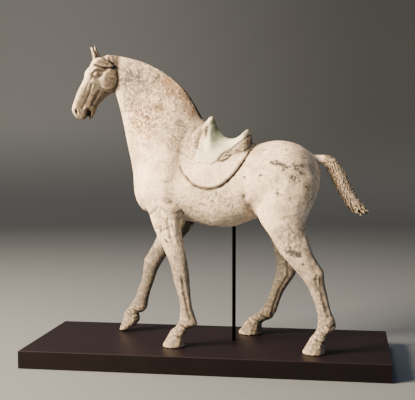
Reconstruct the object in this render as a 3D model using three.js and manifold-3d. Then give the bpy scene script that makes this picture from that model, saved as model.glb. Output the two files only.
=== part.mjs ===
// A large earthenware horse that walks with one forefoot raised, saddled, with a tail of
// plaited clay. It stands on a dark wooden plinth, and a steel rod from the plinth steadies
// its belly. Millimetres, +Z up, the head towards -X, the origin at the middle of the
// plinth's underside.
import * as THREE from "three";
import { mergeVertices } from "three/addons/utils/BufferGeometryUtils.js";
import Module from "manifold-3d";

// Driving dimensions

const PLINTH_LENGTH = 780;
const PLINTH_WIDTH = 324;
const PLINTH_THICKNESS = 38;
const PLINTH_EDGE = 1.2; // the small bevel along every edge of the plinth
const FIGURE_HEIGHT = 656; // from under the hooves to about the tips of the ears
const ROD_DIAMETER = 8;
const ROD_IN_PLINTH = 22; // how deep the rod stands in the plinth
const ROD_IN_BELLY = 14; // how far the rod reaches up into the belly
const ROD_X = 50; // where the rod stands, from the middle of the plinth
const ROD_Y = 12;
const REST_GAP = 0.3; // left between pieces that touch
const CLOTH_THICKNESS = 5; // the saddlecloth, above the coat
const FELT_THICKNESS = 7.4; // the felt under the saddle, above the coat
const FLAP_THICKNESS = 9.4; // the saddle's flaps, above the coat
const MANE_SLOT_WIDTH = 4.2; // the slot along the crest that held a mane of hair
const MANE_SLOT_DEPTH = 4.5;

// The figure's own forms are given in hundredths of its height, so it keeps its
// proportions at any size. Its x runs from the head to the tail, its y to its off side.
const UNIT = FIGURE_HEIGHT / 100;

const wasm = await Module();
wasm.setup();

// Solids

// A three.js geometry as a solid that can be joined and cut.
function solidOf(geometry) {
  const bare = new THREE.BufferGeometry();
  bare.setAttribute("position", geometry.getAttribute("position"));
  bare.setIndex(geometry.getIndex());
  const merged = mergeVertices(bare, 1e-3);
  const corners = new Uint32Array(merged.getIndex().array);
  const make = () =>
    new wasm.Manifold(
      new wasm.Mesh({
        numProp: 3,
        vertProperties: merged.getAttribute("position").array,
        triVerts: corners,
      }),
    );
  const made = make();
  if (made.volume() > 0) return made;
  for (let i = 0; i < corners.length; i += 3) {
    [corners[i + 1], corners[i + 2]] = [corners[i + 2], corners[i + 1]];
  }
  return make();
}

// A solid as a three.js geometry with a flat face on each triangle.
function geometryOf(solid) {
  const mesh = solid.getMesh();
  const points = new Float32Array(mesh.numVert * 3);
  for (let i = 0; i < mesh.numVert; i++) {
    const start = i * mesh.numProp;
    points.set(mesh.vertProperties.subarray(start, start + 3), i * 3);
  }
  const geometry = new THREE.BufferGeometry();
  geometry.setAttribute("position", new THREE.BufferAttribute(points, 3));
  geometry.setIndex(new THREE.BufferAttribute(mesh.triVerts, 1));
  geometry.computeVertexNormals();
  return geometry;
}

const joined = (...solids) => solids.reduce((all, next) => all.add(next));

// A number raised to a power with its sign kept, which squares off a circle's sine.
const signedPower = (value, power) =>
  Math.sign(value) * Math.abs(value) ** power;

// A form laid through sections. Each station is a section that spans from one outline of the
// side view to the other: [x, z of the one, x, z of the other, y of its middle, half width,
// taper], where a taper below 0 narrows the section towards the first outline. A squareness
// under 1 squares the sections off, and grow tells how much larger each section is made all
// round. It starts from a sphere, whose rows become the sections and whose poles close its
// ends.
function loft(stations, { sides, steps, squareness = 1, grow = () => 0 }) {
  const places = stations.map((_, index) => index);
  const size = stations[0].length;
  const course = new THREE.CubicInterpolant(places, stations.flat(), size);
  const rows = (stations.length - 1) * steps;
  const ball = new THREE.SphereGeometry(1, sides, rows + 2);
  const position = ball.getAttribute("position");
  for (let i = 0; i < position.count; i++) {
    const row = Math.floor(i / (sides + 1));
    const column = (i % (sides + 1)) % sides;
    const atPole = row === 0 || row === rows + 2;
    const t = THREE.MathUtils.clamp((row - 1) / steps, 0, places.length - 1);
    const [ax, az, bx, bz, y, halfWidth, taper] = course.evaluate(t);
    const angle = (2 * Math.PI * column) / sides;
    const along = atPole ? 0 : signedPower(Math.sin(angle), squareness);
    const across = atPole ? 0 : signedPower(Math.cos(angle), squareness);
    const span = Math.hypot(ax - bx, az - bz) || 1;
    const growth = grow(t);
    const reach = (0.5 + growth / span) * along;
    const width = (halfWidth + growth) * across * (1 + taper * along);
    position.setXYZ(
      i,
      ((ax + bx) / 2 + (ax - bx) * reach) * UNIT,
      (y + width) * UNIT,
      ((az + bz) / 2 + (az - bz) * reach) * UNIT,
    );
  }
  return solidOf(ball);
}

// The same form on the other side of the body.
const mirrored = (stations) =>
  stations.map(([ax, az, bx, bz, y, ...rest]) => [ax, az, bx, bz, -y, ...rest]);

// A ball stretched to three half sizes, tilted in the side view by an angle in degrees.
function ball({ at: [x, y, z], half: [a, b, c], tilt = 0, sides = 10 }) {
  const geometry = new THREE.SphereGeometry(1, sides, Math.round(sides / 2));
  geometry.rotateX(Math.PI / 2);
  geometry.scale(a * UNIT, b * UNIT, c * UNIT);
  geometry.rotateY(THREE.MathUtils.degToRad(tilt));
  geometry.translate(x * UNIT, y * UNIT, z * UNIT);
  return solidOf(geometry);
}

// A closed outline of the side view, [x, z] points with a smooth curve through them, as a
// plate that reaches the same width to both sides.
function plate(outline, halfWidth, samples) {
  const points = outline.map(([x, z]) => new THREE.Vector3(x, z, 0));
  const curve = new THREE.CatmullRomCurve3(points, true, "centripetal");
  const shape = new THREE.Shape(
    curve.getSpacedPoints(samples).slice(0, samples).map((p) => new THREE.Vector2(p.x, p.y)),
  );
  const geometry = new THREE.ExtrudeGeometry(shape, {
    depth: 2 * halfWidth,
    bevelEnabled: false,
  });
  geometry.rotateX(Math.PI / 2);
  geometry.translate(0, halfWidth, 0);
  geometry.scale(UNIT, UNIT, UNIT);
  return solidOf(geometry);
}

// The trunk and neck, from the poll along the crest, back and croup to the tail

const TRUNK = [
  [-38.9, 95.4, -36.2, 88.6, 0, 2.2, 0],
  [-35.2, 97.0, -33.4, 85.6, 0, 3.0, -0.12],
  [-28.3, 96.1, -31.6, 80.4, 0, 3.8, -0.3],
  [-20.4, 93.5, -30.1, 74.2, 0, 4.8, -0.42],
  [-13.2, 89.1, -28.8, 67.6, 0, 6.0, -0.46],
  [-7.3, 83.4, -27.4, 61.4, 0, 7.4, -0.46],
  [-3.0, 75.8, -26.3, 55.6, 0, 9.3, -0.42],
  [0.6, 69.2, -25.9, 49.6, 0, 11.4, -0.36],
  [4.2, 67.0, -23.0, 44.1, 0, 12.7, -0.26],
  [7.6, 66.2, -14.8, 42.2, 0, 13.1, -0.15],
  [10.6, 65.9, -7.0, 40.6, 0, 13.1, -0.06],
  [13.6, 66.1, 0.4, 38.9, 0, 13.1, -0.05],
  [17.2, 67.1, 7.0, 38.8, 0, 13.0, -0.05],
  [21.6, 68.0, 13.4, 41.0, 0, 13.4, -0.04],
  [26.4, 67.6, 20.0, 43.4, 0, 13.6, -0.04],
  [31.0, 65.8, 26.2, 45.6, 0, 12.3, -0.06],
  [34.6, 62.6, 31.6, 47.6, 0, 9.2, -0.08],
  [36.7, 57.8, 36.0, 50.6, 0, 4.6, 0],
];
const TRUNK_MESH = { sides: 26, steps: 2 };

// The legs. Each one starts inside the trunk and ends in the flat sole of its hoof.

const NEAR_FORE = [
  [-19.0, 56.0, -11.0, 58.0, -5.6, 2.4, 0],
  [-21.6, 51.0, -7.6, 52.6, -6.8, 3.6, 0],
  [-21.0, 46.8, -7.4, 47.8, -8.2, 3.9, 0],
  [-19.4, 43.2, -8.5, 43.6, -9.0, 3.7, 0.05],
  [-17.9, 39.5, -8.4, 39.8, -9.5, 3.3, 0.08],
  [-16.2, 36.0, -8.0, 36.4, -9.9, 2.95, 0.08],
  [-14.3, 32.3, -7.2, 32.9, -10.3, 2.6, 0.05],
  [-12.8, 29.2, -6.4, 29.5, -10.4, 2.4, 0],
  [-11.8, 26.7, -6.0, 26.9, -10.5, 2.4, -0.1],
  [-11.3, 24.1, -5.6, 24.4, -10.5, 2.4, -0.1],
  [-10.8, 21.6, -5.5, 22.0, -10.5, 2.0, 0],
  [-10.0, 19.2, -5.2, 19.4, -10.6, 1.75, 0.05],
  [-9.1, 16.0, -5.0, 16.2, -10.6, 1.65, 0.05],
  [-8.6, 12.6, -4.5, 13.2, -10.7, 1.65, 0.05],
  [-8.8, 9.9, -3.6, 10.4, -10.7, 2.05, 0],
  [-9.3, 7.9, -2.6, 7.5, -10.7, 2.15, 0],
  [-10.5, 6.4, -6.0, 5.5, -10.7, 1.95, 0],
  [-11.8, 5.4, -6.8, 4.3, -10.7, 2.4, 0],
  [-13.0, 3.2, -7.0, 2.4, -10.7, 3.05, 0],
  [-14.6, 0.7, -6.8, 0.6, -10.7, 3.6, 0],
  [-14.6, 0, -7.0, 0, -10.7, 3.55, 0],
];

const OFF_FORE = [
  [-19.0, 56.0, -9.0, 58.0, 5.6, 2.4, 0],
  [-21.6, 51.0, -6.4, 52.4, 6.8, 3.6, 0],
  [-21.6, 46.4, -5.6, 46.8, 8.2, 3.9, 0],
  [-20.6, 43.0, -5.9, 41.8, 9.1, 3.7, 0.05],
  [-20.2, 39.6, -7.4, 38.2, 9.7, 3.3, 0.08],
  [-20.4, 36.3, -10.4, 34.6, 10.3, 3.0, 0.08],
  [-21.3, 33.3, -13.6, 31.2, 10.6, 2.7, 0.05],
  [-22.7, 30.7, -16.5, 28.4, 10.9, 2.5, 0],
  [-24.3, 28.3, -18.2, 26.2, 11.1, 2.45, -0.1],
  [-25.7, 26.0, -19.5, 24.2, 11.2, 2.45, -0.1],
  [-25.95, 23.8, -20.6, 22.2, 11.3, 2.1, 0],
  [-26.1, 21.2, -21.4, 20.2, 11.3, 1.85, 0.05],
  [-26.8, 18.0, -22.3, 17.4, 11.4, 1.7, 0.05],
  [-28.0, 14.9, -23.3, 14.6, 11.4, 1.7, 0.05],
  [-29.4, 11.6, -24.0, 11.6, 11.4, 1.85, 0.05],
  [-31.0, 9.3, -24.5, 8.5, 11.4, 2.1, 0],
  [-32.3, 7.6, -26.3, 6.6, 11.4, 2.05, 0],
  [-33.3, 6.1, -28.1, 6.9, 11.4, 2.15, 0],
  [-33.8, 4.0, -27.4, 6.1, 11.4, 2.9, 0],
  [-34.8, 0.8, -27.3, 4.7, 11.4, 3.45, 0],
  [-34.9, 0.1, -27.4, 3.9, 11.4, 3.3, 0],
  [-33.6, 0.05, -28.9, 2.1, 11.4, 2.6, 0],
];

const NEAR_HIND = [
  [22.0, 62.6, 29.5, 62.2, -4.4, 2.8, 0],
  [18.2, 59.8, 33.8, 59.4, -5.9, 5.2, 0],
  [15.4, 55.4, 36.2, 55.4, -6.9, 6.6, 0],
  [14.8, 49.8, 36.2, 50.4, -7.6, 6.6, 0],
  [15.7, 44.6, 34.0, 45.6, -8.5, 5.9, 0],
  [17.8, 40.9, 32.4, 41.6, -9.5, 4.9, 0.05],
  [20.1, 37.9, 32.9, 38.2, -10.3, 4.1, 0.08],
  [22.1, 34.8, 33.8, 34.8, -10.9, 3.45, 0.1],
  [24.3, 31.4, 35.0, 31.3, -11.5, 2.95, 0.1],
  [27.1, 28.4, 36.8, 28.4, -12.0, 2.65, 0.05],
  [29.5, 25.8, 38.4, 26.2, -12.4, 2.55, -0.1],
  [31.6, 23.3, 38.5, 23.7, -12.7, 2.45, -0.15],
  [33.2, 20.8, 38.9, 21.2, -12.9, 2.1, -0.05],
  [34.3, 18.5, 39.6, 18.8, -13.1, 1.85, 0.05],
  [35.4, 15.9, 40.1, 16.2, -13.3, 1.7, 0.05],
  [36.2, 13.0, 40.8, 13.4, -13.4, 1.7, 0.05],
  [36.4, 10.2, 42.0, 10.9, -13.5, 2.05, 0],
  [36.1, 8.0, 42.4, 8.6, -13.6, 2.15, 0],
  [35.0, 6.0, 40.0, 6.2, -13.7, 1.95, 0],
  [33.9, 4.9, 39.0, 4.0, -13.8, 2.45, 0],
  [32.9, 2.9, 38.9, 2.3, -13.9, 3.05, 0],
  [31.5, 0.7, 39.1, 0.6, -13.9, 3.6, 0],
  [31.6, 0, 39.0, 0, -13.9, 3.55, 0],
];

const OFF_HIND = [
  [22.0, 62.6, 29.5, 62.2, 4.4, 2.8, 0],
  [18.0, 59.8, 33.8, 59.4, 5.9, 5.2, 0],
  [14.8, 55.4, 36.2, 55.4, 6.9, 6.6, 0],
  [13.8, 49.8, 35.6, 50.2, 7.6, 6.6, 0],
  [14.4, 44.6, 33.0, 45.4, 8.4, 5.9, 0],
  [15.9, 40.8, 30.9, 41.4, 9.3, 4.9, 0.05],
  [17.6, 37.4, 30.0, 38.0, 10.1, 4.1, 0.08],
  [19.1, 34.0, 29.4, 34.6, 10.8, 3.45, 0.1],
  [20.2, 30.8, 28.9, 31.2, 11.4, 2.95, 0.1],
  [21.0, 27.6, 28.8, 27.8, 11.9, 2.65, 0.05],
  [21.3, 24.9, 29.0, 24.2, 12.2, 2.55, -0.1],
  [20.9, 22.0, 27.6, 20.9, 12.4, 2.4, -0.15],
  [20.1, 18.9, 25.6, 18.0, 12.6, 2.0, -0.05],
  [19.1, 15.6, 23.7, 14.9, 12.8, 1.8, 0.05],
  [18.0, 12.5, 22.4, 11.6, 12.9, 1.7, 0.05],
  [16.6, 9.9, 21.4, 8.4, 13.0, 2.0, 0],
  [14.9, 7.9, 19.8, 5.6, 13.0, 2.1, 0],
  [13.1, 6.6, 17.2, 4.6, 13.0, 1.95, 0],
  [11.7, 5.9, 16.1, 3.7, 13.0, 2.45, 0],
  [9.9, 3.8, 16.2, 2.2, 13.0, 3.05, 0],
  [7.9, 0.7, 16.3, 0.6, 13.0, 3.6, 0],
  [8.0, 0, 16.2, 0, 13.0, 3.55, 0],
];
const LEG_MESH = { sides: 12, steps: 1 };

// The head

const SKULL = [
  [-37.6, 95.6, -33.6, 91.4, 0, 2.6, 0],
  [-40.1, 95.9, -32.8, 88.6, 0, 3.4, 0],
  [-41.7, 93.3, -32.6, 85.9, 0, 3.8, 0],
  [-43.4, 91.3, -33.4, 84.2, 0, 3.8, 0],
  [-43.7, 89.3, -35.2, 83.2, 0, 3.2, 0.05],
  [-44.8, 87.2, -36.9, 81.9, 0, 2.8, 0.1],
  [-46.0, 85.0, -38.2, 80.6, 0, 2.5, 0.12],
  [-46.9, 82.9, -39.2, 79.4, 0, 2.3, 0.12],
  [-47.6, 81.0, -39.7, 78.0, 0, 2.25, 0.1],
  [-48.2, 79.0, -40.2, 76.8, 0, 2.3, 0.1],
  [-47.9, 77.3, -41.0, 75.6, 0, 2.1, 0.1],
  [-46.3, 75.3, -42.4, 74.9, 0, 1.4, 0],
];
// The open mouth: its corner lies high at the rear, and its gap runs down between the lips.
const MOUTH_OUTLINE = [
  [-44.6, 73.4], [-43.9, 75.2], [-43.0, 76.2], [-42.6, 77.4], [-41.9, 78.3], [-41.15, 77.9],
  [-41.0, 76.9], [-41.5, 75.9], [-42.6, 75.0], [-43.0, 73.4],
];
const NEAR_EAR = [
  [-40.2, 94.4, -37.4, 94.9, -2.5, 0.9, 0],
  [-40.5, 96.6, -38.3, 96.9, -2.7, 0.95, 0],
  [-40.9, 98.4, -39.1, 98.4, -2.85, 0.75, 0],
  [-41.1, 99.5, -39.9, 99.2, -2.9, 0.35, 0],
];
const OFF_EAR = [
  [-40.4, 94.4, -38.0, 94.9, 2.5, 0.9, 0],
  [-40.8, 96.6, -38.9, 96.9, 2.7, 0.85, 0],
  [-41.1, 98.9, -40.0, 99.1, 2.85, 0.6, 0],
  [-41.1, 100.6, -40.7, 100.7, 3.0, 0.16, 0],
];
// The forelock, parted and combed back below each ear.
const FORELOCK = [
  [-40.6, 94.3, -40.4, 93.2, -1.6, 0.8, 0],
  [-39.2, 95.2, -39.2, 93.2, -3.0, 1.0, 0],
  [-37.0, 95.9, -37.4, 92.7, -3.7, 1.0, 0],
  [-34.8, 95.2, -35.2, 92.2, -3.9, 0.95, 0],
  [-32.4, 93.2, -32.6, 92.0, -3.8, 0.7, 0],
];

const EYE = [-38.5, 90.1]; // the middle of each eye in the side view

function makeHead() {
  const [eyeX, eyeZ] = EYE;
  const head = [
    loft(SKULL, { sides: 16, steps: 2, squareness: 0.92 }),
    loft(FORELOCK, { sides: 8, steps: 2 }),
    loft(mirrored(FORELOCK), { sides: 8, steps: 2 }),
    loft(NEAR_EAR, { sides: 8, steps: 2 }),
    loft(OFF_EAR, { sides: 8, steps: 2 }),
  ];
  const hollows = [plate(MOUTH_OUTLINE, 5, 18)];
  for (const side of [-1, 1]) {
    const jowl = { at: [-33.9, 2.9 * side, 88.0], half: [3.9, 2.1, 4.0], tilt: 12, sides: 16 };
    const brow = { at: [eyeX - 0.2, 3.1 * side, eyeZ + 1.1], half: [1.9, 0.8, 0.6], tilt: -8 };
    const eyeSocket = { at: [eyeX, 4.2 * side, eyeZ], half: [1.25, 1.0, 0.95] };
    const nostril = { at: [-46.2, 2.3 * side, 77.6], half: [0.45, 1.1, 0.95], tilt: -15 };
    const mouthCorner = { at: [-41.8, 2.0 * side, 77.1], half: [0.9, 1.4, 1.4], tilt: -10 };
    head.push(ball(jowl), ball(brow));
    hollows.push(ball(eyeSocket), ball(nostril), ball(mouthCorner));
  }
  for (const ear of [NEAR_EAR, OFF_EAR]) {
    const bowl = ear.map(([ax, az, bx, bz, y, width]) => [
      ax - 0.5, az + 0.4, (ax + bx) / 2, (az + bz) / 2 + 0.4,
      y + 0.35 * Math.sign(y), width * 0.6, 0,
    ]);
    hollows.push(loft(bowl, { sides: 6, steps: 1 }));
  }
  const inside = [-1, 1].map((side) =>
    ball({ at: [eyeX, 3.2 * side, eyeZ], half: [0.85, 0.9, 0.7] }),
  );
  const palate = ball({ at: [-42.0, 0, 77.2], half: [1.4, 0.4, 1.5] });
  return joined(joined(...head).subtract(joined(...hollows)), ...inside, palate);
}

// The tail, docked and plaited

const TAIL = [
  [32.6, 63.4, 33.2, 60.4, 0, 1.5, 0],
  [35.6, 63.3, 36.0, 60.4, 0, 1.45, 0],
  [38.6, 63.1, 38.1, 59.7, 0, 1.7, 0],
  [41.2, 61.5, 39.7, 57.8, 0, 2.0, 0],
  [43.8, 58.6, 40.6, 55.0, 0, 2.3, 0],
  [45.6, 55.0, 41.9, 51.8, 0, 2.4, 0],
  [47.3, 51.8, 43.5, 48.9, 0, 2.3, 0],
  [49.1, 48.6, 45.8, 46.4, 0, 2.0, 0],
  [50.7, 46.5, 48.5, 45.0, 0, 1.5, 0],
  [51.9, 44.6, 51.3, 44.1, 0, 0.5, 0],
];

// The saddle and its cloths, which lie on the trunk

const CLOTH_OUTLINE = [
  [-3.0, 74.6], [-7.4, 70.6], [-9.3, 66.6], [-9.2, 62.4], [-8.2, 58.8], [-6.4, 56.2],
  [-3.8, 53.8], [-0.4, 52.4], [3.0, 52.4], [6.2, 54.0], [9.3, 57.4], [11.8, 61.0],
  [13.8, 64.4], [15.3, 67.0], [14.6, 71.4], [6.0, 73.0],
];
const FELT_OUTLINE = [
  [2.0, 61.0], [4.6, 60.9], [7.6, 62.4], [10.8, 63.6], [13.6, 65.0], [15.0, 66.9],
  [14.2, 71.0], [8.0, 72.0], [3.6, 67.0],
];
const FLAP_OUTLINE = [
  [0.7, 77.1], [-1.9, 73.4], [-1.7, 70.6], [-2.4, 68.0], [-3.4, 64.8],
  [-3.9, 62.4], [-2.6, 61.0], [0.0, 60.6], [2.4, 60.7], [3.9, 62.0], [5.3, 64.0],
  [7.6, 65.8], [10.6, 67.2], [13.2, 68.4], [12.6, 70.4], [9.0, 72.0], [4.0, 74.0],
];
// The saddle's tree, from the pommel through the dipped seat to the cantle.
const TREE = [
  [-1.7, 74.4, -2.4, 62.0, 0, 4.4, -0.35],
  [-0.6, 75.6, -1.6, 60.0, 0, 6.0, -0.42],
  [0.8, 76.0, -0.6, 58.0, 0, 7.4, -0.48],
  [2.0, 73.2, 0.4, 57.0, 0, 7.8, -0.45],
  [3.4, 70.3, 1.4, 56.0, 0, 7.8, -0.42],
  [5.6, 68.8, 2.6, 56.0, 0, 7.8, -0.36],
  [8.0, 68.6, 3.8, 56.0, 0, 8.0, -0.3],
  [10.2, 69.9, 4.8, 56.5, 0, 8.4, -0.26],
  [12.2, 71.7, 5.6, 57.5, 0, 8.8, -0.24],
  [13.2, 71.3, 8.6, 58.0, 0, 8.4, -0.24],
  [13.8, 70.0, 12.4, 58.5, 0, 7.8, -0.24],
];
const ACROSS = 20; // half the width of the plates that cut the saddle and cloths out

// A layer over the coat, which rises out of it between two stations of the trunk and is a
// little below the coat before the first.
const layer = (thickness, first, last) => (t) => {
  const risen = THREE.MathUtils.smoothstep(t, first, last);
  return (thickness * risen - REST_GAP * (1 - risen)) / UNIT;
};

function makeSaddle() {
  const onTrunk = (outline, samples, grow) =>
    plate(outline, ACROSS, samples).intersect(loft(TRUNK, { ...TRUNK_MESH, grow }));
  return joined(
    onTrunk(CLOTH_OUTLINE, 44, layer(CLOTH_THICKNESS, 7.2, 8.8)),
    onTrunk(FELT_OUTLINE, 24, layer(FELT_THICKNESS, 7.2, 8.8)),
    onTrunk(FLAP_OUTLINE, 44, layer(FLAP_THICKNESS, 6.2, 8.6)),
    loft(TREE, { sides: 22, steps: 2, squareness: 0.9 }),
  );
}

// The slot along the crest, a thin plate whose lower edge follows the neck's top outline.
function makeManeSlot() {
  const crest = TRUNK.slice(1, 8).map(([x, z]) => new THREE.Vector2(x, z));
  const line = new THREE.SplineCurve(crest).getPoints(24);
  const depth = MANE_SLOT_DEPTH / UNIT;
  const shape = new THREE.Shape();
  const offset = (point, index, distance) => {
    const before = line[Math.max(index - 1, 0)];
    const after = line[Math.min(index + 1, line.length - 1)];
    const normal = new THREE.Vector2(before.y - after.y, after.x - before.x);
    return point.clone().addScaledVector(normal.normalize(), distance);
  };
  const floor = line.map((point, index) => offset(point, index, -depth));
  const above = line.map((point, index) => offset(point, index, 2 * depth));
  shape.setFromPoints([...floor, ...above.reverse()]);
  const width = MANE_SLOT_WIDTH / UNIT;
  const geometry = new THREE.ExtrudeGeometry(shape, {
    depth: width,
    bevelEnabled: false,
  });
  geometry.rotateX(Math.PI / 2);
  geometry.translate(0, width / 2, 0);
  geometry.scale(UNIT, UNIT, UNIT);
  return solidOf(geometry);
}

// The rod and its sockets

const ROD_SIDES = 24;
const BELLY_AT_ROD = 38.9; // the belly's underside there, in hundredths of the height
const rodBottom = PLINTH_THICKNESS - ROD_IN_PLINTH;
const rodTop = PLINTH_THICKNESS + REST_GAP + BELLY_AT_ROD * UNIT + ROD_IN_BELLY;

function upright(diameter, bottom, top) {
  const geometry = new THREE.CylinderGeometry(
    diameter / 2, diameter / 2, top - bottom, ROD_SIDES,
  );
  geometry.rotateX(Math.PI / 2);
  geometry.translate(ROD_X, ROD_Y, (top + bottom) / 2);
  return geometry;
}

// The pieces

const seat = PLINTH_THICKNESS + REST_GAP; // the height of the figure's own ground

function makeHorse() {
  const figure = joined(
    loft(TRUNK, TRUNK_MESH),
    ...[NEAR_FORE, OFF_FORE, NEAR_HIND, OFF_HIND].map((leg) => loft(leg, LEG_MESH)),
    loft(TAIL, { sides: 12, steps: 2 }),
    makeSaddle(),
  ).subtract(makeManeSlot());
  const socket = upright(
    ROD_DIAMETER + 2 * REST_GAP, 0, rodTop + REST_GAP,
  );
  return figure
    .add(makeHead())
    .translate([0, 0, seat])
    .subtract(solidOf(socket));
}

function makePlinth() {
  const edge = 2 * PLINTH_EDGE;
  const shape = new THREE.Shape();
  const [x, y] = [(PLINTH_LENGTH - edge) / 2, (PLINTH_WIDTH - edge) / 2];
  shape.setFromPoints([
    new THREE.Vector2(-x, -y), new THREE.Vector2(x, -y),
    new THREE.Vector2(x, y), new THREE.Vector2(-x, y),
  ]);
  const board = new THREE.ExtrudeGeometry(shape, {
    depth: PLINTH_THICKNESS - edge,
    bevelThickness: PLINTH_EDGE,
    bevelSize: PLINTH_EDGE,
    bevelSegments: 1,
  });
  board.translate(0, 0, PLINTH_EDGE);
  const socket = upright(
    ROD_DIAMETER + 2 * REST_GAP, rodBottom - REST_GAP, 2 * PLINTH_THICKNESS,
  );
  return solidOf(board).subtract(solidOf(socket));
}

// The model

const earthenware = new THREE.MeshStandardMaterial({
  color: 0xd3c2ae,
  roughness: 0.88,
  metalness: 0,
  flatShading: true,
});
const darkWood = new THREE.MeshStandardMaterial({
  color: 0x2e1d1c,
  roughness: 0.5,
  metalness: 0,
});
const blackSteel = new THREE.MeshStandardMaterial({
  color: 0x0b0b0c,
  roughness: 0.45,
  metalness: 0.6,
});

function named(name, geometry, material) {
  const mesh = new THREE.Mesh(geometry, material);
  mesh.name = name;
  return mesh;
}

const model = new THREE.Group();
model.add(
  named("horse", geometryOf(makeHorse()), earthenware),
  named("plinth", geometryOf(makePlinth()), darkWood),
  named("support_rod", upright(ROD_DIAMETER, rodBottom, rodTop), blackSteel),
);

export default model;
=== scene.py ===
import itertools
import math

import bmesh
import bpy
import numpy as np
from mathutils import Matrix, Vector


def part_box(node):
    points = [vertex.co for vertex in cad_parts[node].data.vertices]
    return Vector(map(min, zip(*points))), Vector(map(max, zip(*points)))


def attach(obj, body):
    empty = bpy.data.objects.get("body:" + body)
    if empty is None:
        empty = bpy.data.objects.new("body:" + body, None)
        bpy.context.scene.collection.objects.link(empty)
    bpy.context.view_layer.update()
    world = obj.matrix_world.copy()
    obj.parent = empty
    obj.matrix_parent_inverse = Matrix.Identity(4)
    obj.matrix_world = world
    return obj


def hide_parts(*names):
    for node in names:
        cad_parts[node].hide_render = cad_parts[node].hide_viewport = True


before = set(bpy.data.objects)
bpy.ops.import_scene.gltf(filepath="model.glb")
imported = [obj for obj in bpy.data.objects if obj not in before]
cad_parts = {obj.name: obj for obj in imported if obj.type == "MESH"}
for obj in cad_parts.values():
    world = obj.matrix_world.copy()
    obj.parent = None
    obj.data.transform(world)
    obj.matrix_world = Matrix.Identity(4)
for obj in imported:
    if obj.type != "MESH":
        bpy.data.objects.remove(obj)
bpy.context.view_layer.update()

# The figure is laid out in hundredths of its height, measured from the ground it stands on.
UNIT = 0.00656
GROUND = 0.0383
CLAY_GRID = 0.0015
CLAY_FACES = 192000
NEAR = -1
BOTH = 0
OFF = 1
ALL_ROUND = 2

# Outlines seen from the side, as (along, above ground) in hundredths.
HEAD_OUTLINE = [(-31.4, 101), (-31.2, 96), (-30.6, 91.4), (-30.2, 88), (-30.5, 85.8), (-31.6, 84.2),
                (-35, 82), (-39, 77.5), (-41, 73), (-50, 73), (-50, 101)]
CLOTH_OUTLINE = [(-3.0, 74.6), (-7.4, 70.6), (-9.3, 66.6), (-9.2, 62.4), (-8.2, 58.8), (-6.4, 56.2),
                 (-3.8, 53.8), (-0.4, 52.4), (3.0, 52.4), (6.2, 54.0), (9.3, 57.4), (11.8, 61.0),
                 (13.8, 64.4), (15.3, 67.0), (14.6, 71.4), (6.0, 73.0)]
FELT_OUTLINE = [(3.4, 61.2), (5.4, 60.9), (6.8, 61.5), (8.8, 63.4), (10.7, 63.9), (12.3, 63.9), (13.9, 65.1),
                (15.4, 66.5), (14.6, 69.0), (12.8, 71.0), (8.0, 70.0), (3.6, 67.0)]
FLAP_OUTLINE = [(1.2, 80), (-0.6, 75), (-1.4, 73.4), (-0.9, 70.8), (-1.5, 68.2), (-2.8, 65.2), (-3.7, 62.4),
                (-2.6, 61.0), (0.0, 60.6), (2.4, 60.7), (3.6, 62.0), (5.1, 63.8), (8.0, 65.7),
                (10.7, 67.9), (12.6, 69.2), (13.4, 70.0), (14.2, 73), (13, 78)]
TAIL_OUTLINE = [(36.6, 64.5), (36.6, 58.5), (41.0, 58.5), (46, 44), (60, 44), (60, 70), (40, 70)]

# The middle of the tail, from its root to its tip.
TAIL_LINE = [(38.2, 62.0), (40.2, 61.6), (42.3, 59.4), (44.0, 56.0), (45.9, 51.8), (48.0, 47.6),
             (50.2, 44.8), (51.4, 43.4)]
# The tail's clay locks, in metres: how far apart they lie round it, and half of a lock's length,
# width and height.
LOCK_ROWS = 31
LOCK_SPACING = 0.0060
LOCK_LENGTH = 0.0074
LOCK_WIDTH = 0.0022
LOCK_HEIGHT = 0.0028
# A ring of the tail's skin round each row: half its width, and how far it may be from the middle.
RING_WIDTH = 0.010
RING_REACH = 0.030

# Heights above ground, in hundredths, where the legs leave the trunk and where the hooves begin.
LEG_TOP = 43
HOOF_TOP = 7.5

# The photo's camera, fitted to the corners of the plinth: place, degrees it looks down, degrees
# it is turned to the left, focal length on a sensor 36 mm wide.
CAMERA_PLACE = (0.2964, -1.9523, 0.4781)
CAMERA_DROP = 3.646
CAMERA_TURN = 8.856
CAMERA_LENS = 77.65
CAMERA_SENSOR = 36

# Soft lights: name, place, what it points at, size, watts, tint.
LAMPS = [
    ("key", (-2.05, -1.45, 1.40), (-0.10, 0, 0.40), (1.3, 1.1), 545, (1.0, 0.72, 0.445)),
    ("fill", (1.4, -2.2, 0.7), (0, 0, 0.3), (1.4, 1.2), 6, (0.94, 0.98, 1.0)),
    ("top", (-0.5, 0.4, 2.3), (0, 0, 0.4), (1.2, 0.9), 18, (1.0, 0.86, 0.70)),
]
SKY_TINT = (0.50, 0.60, 0.74, 1)
SKY_STRENGTH = 0.30

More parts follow.
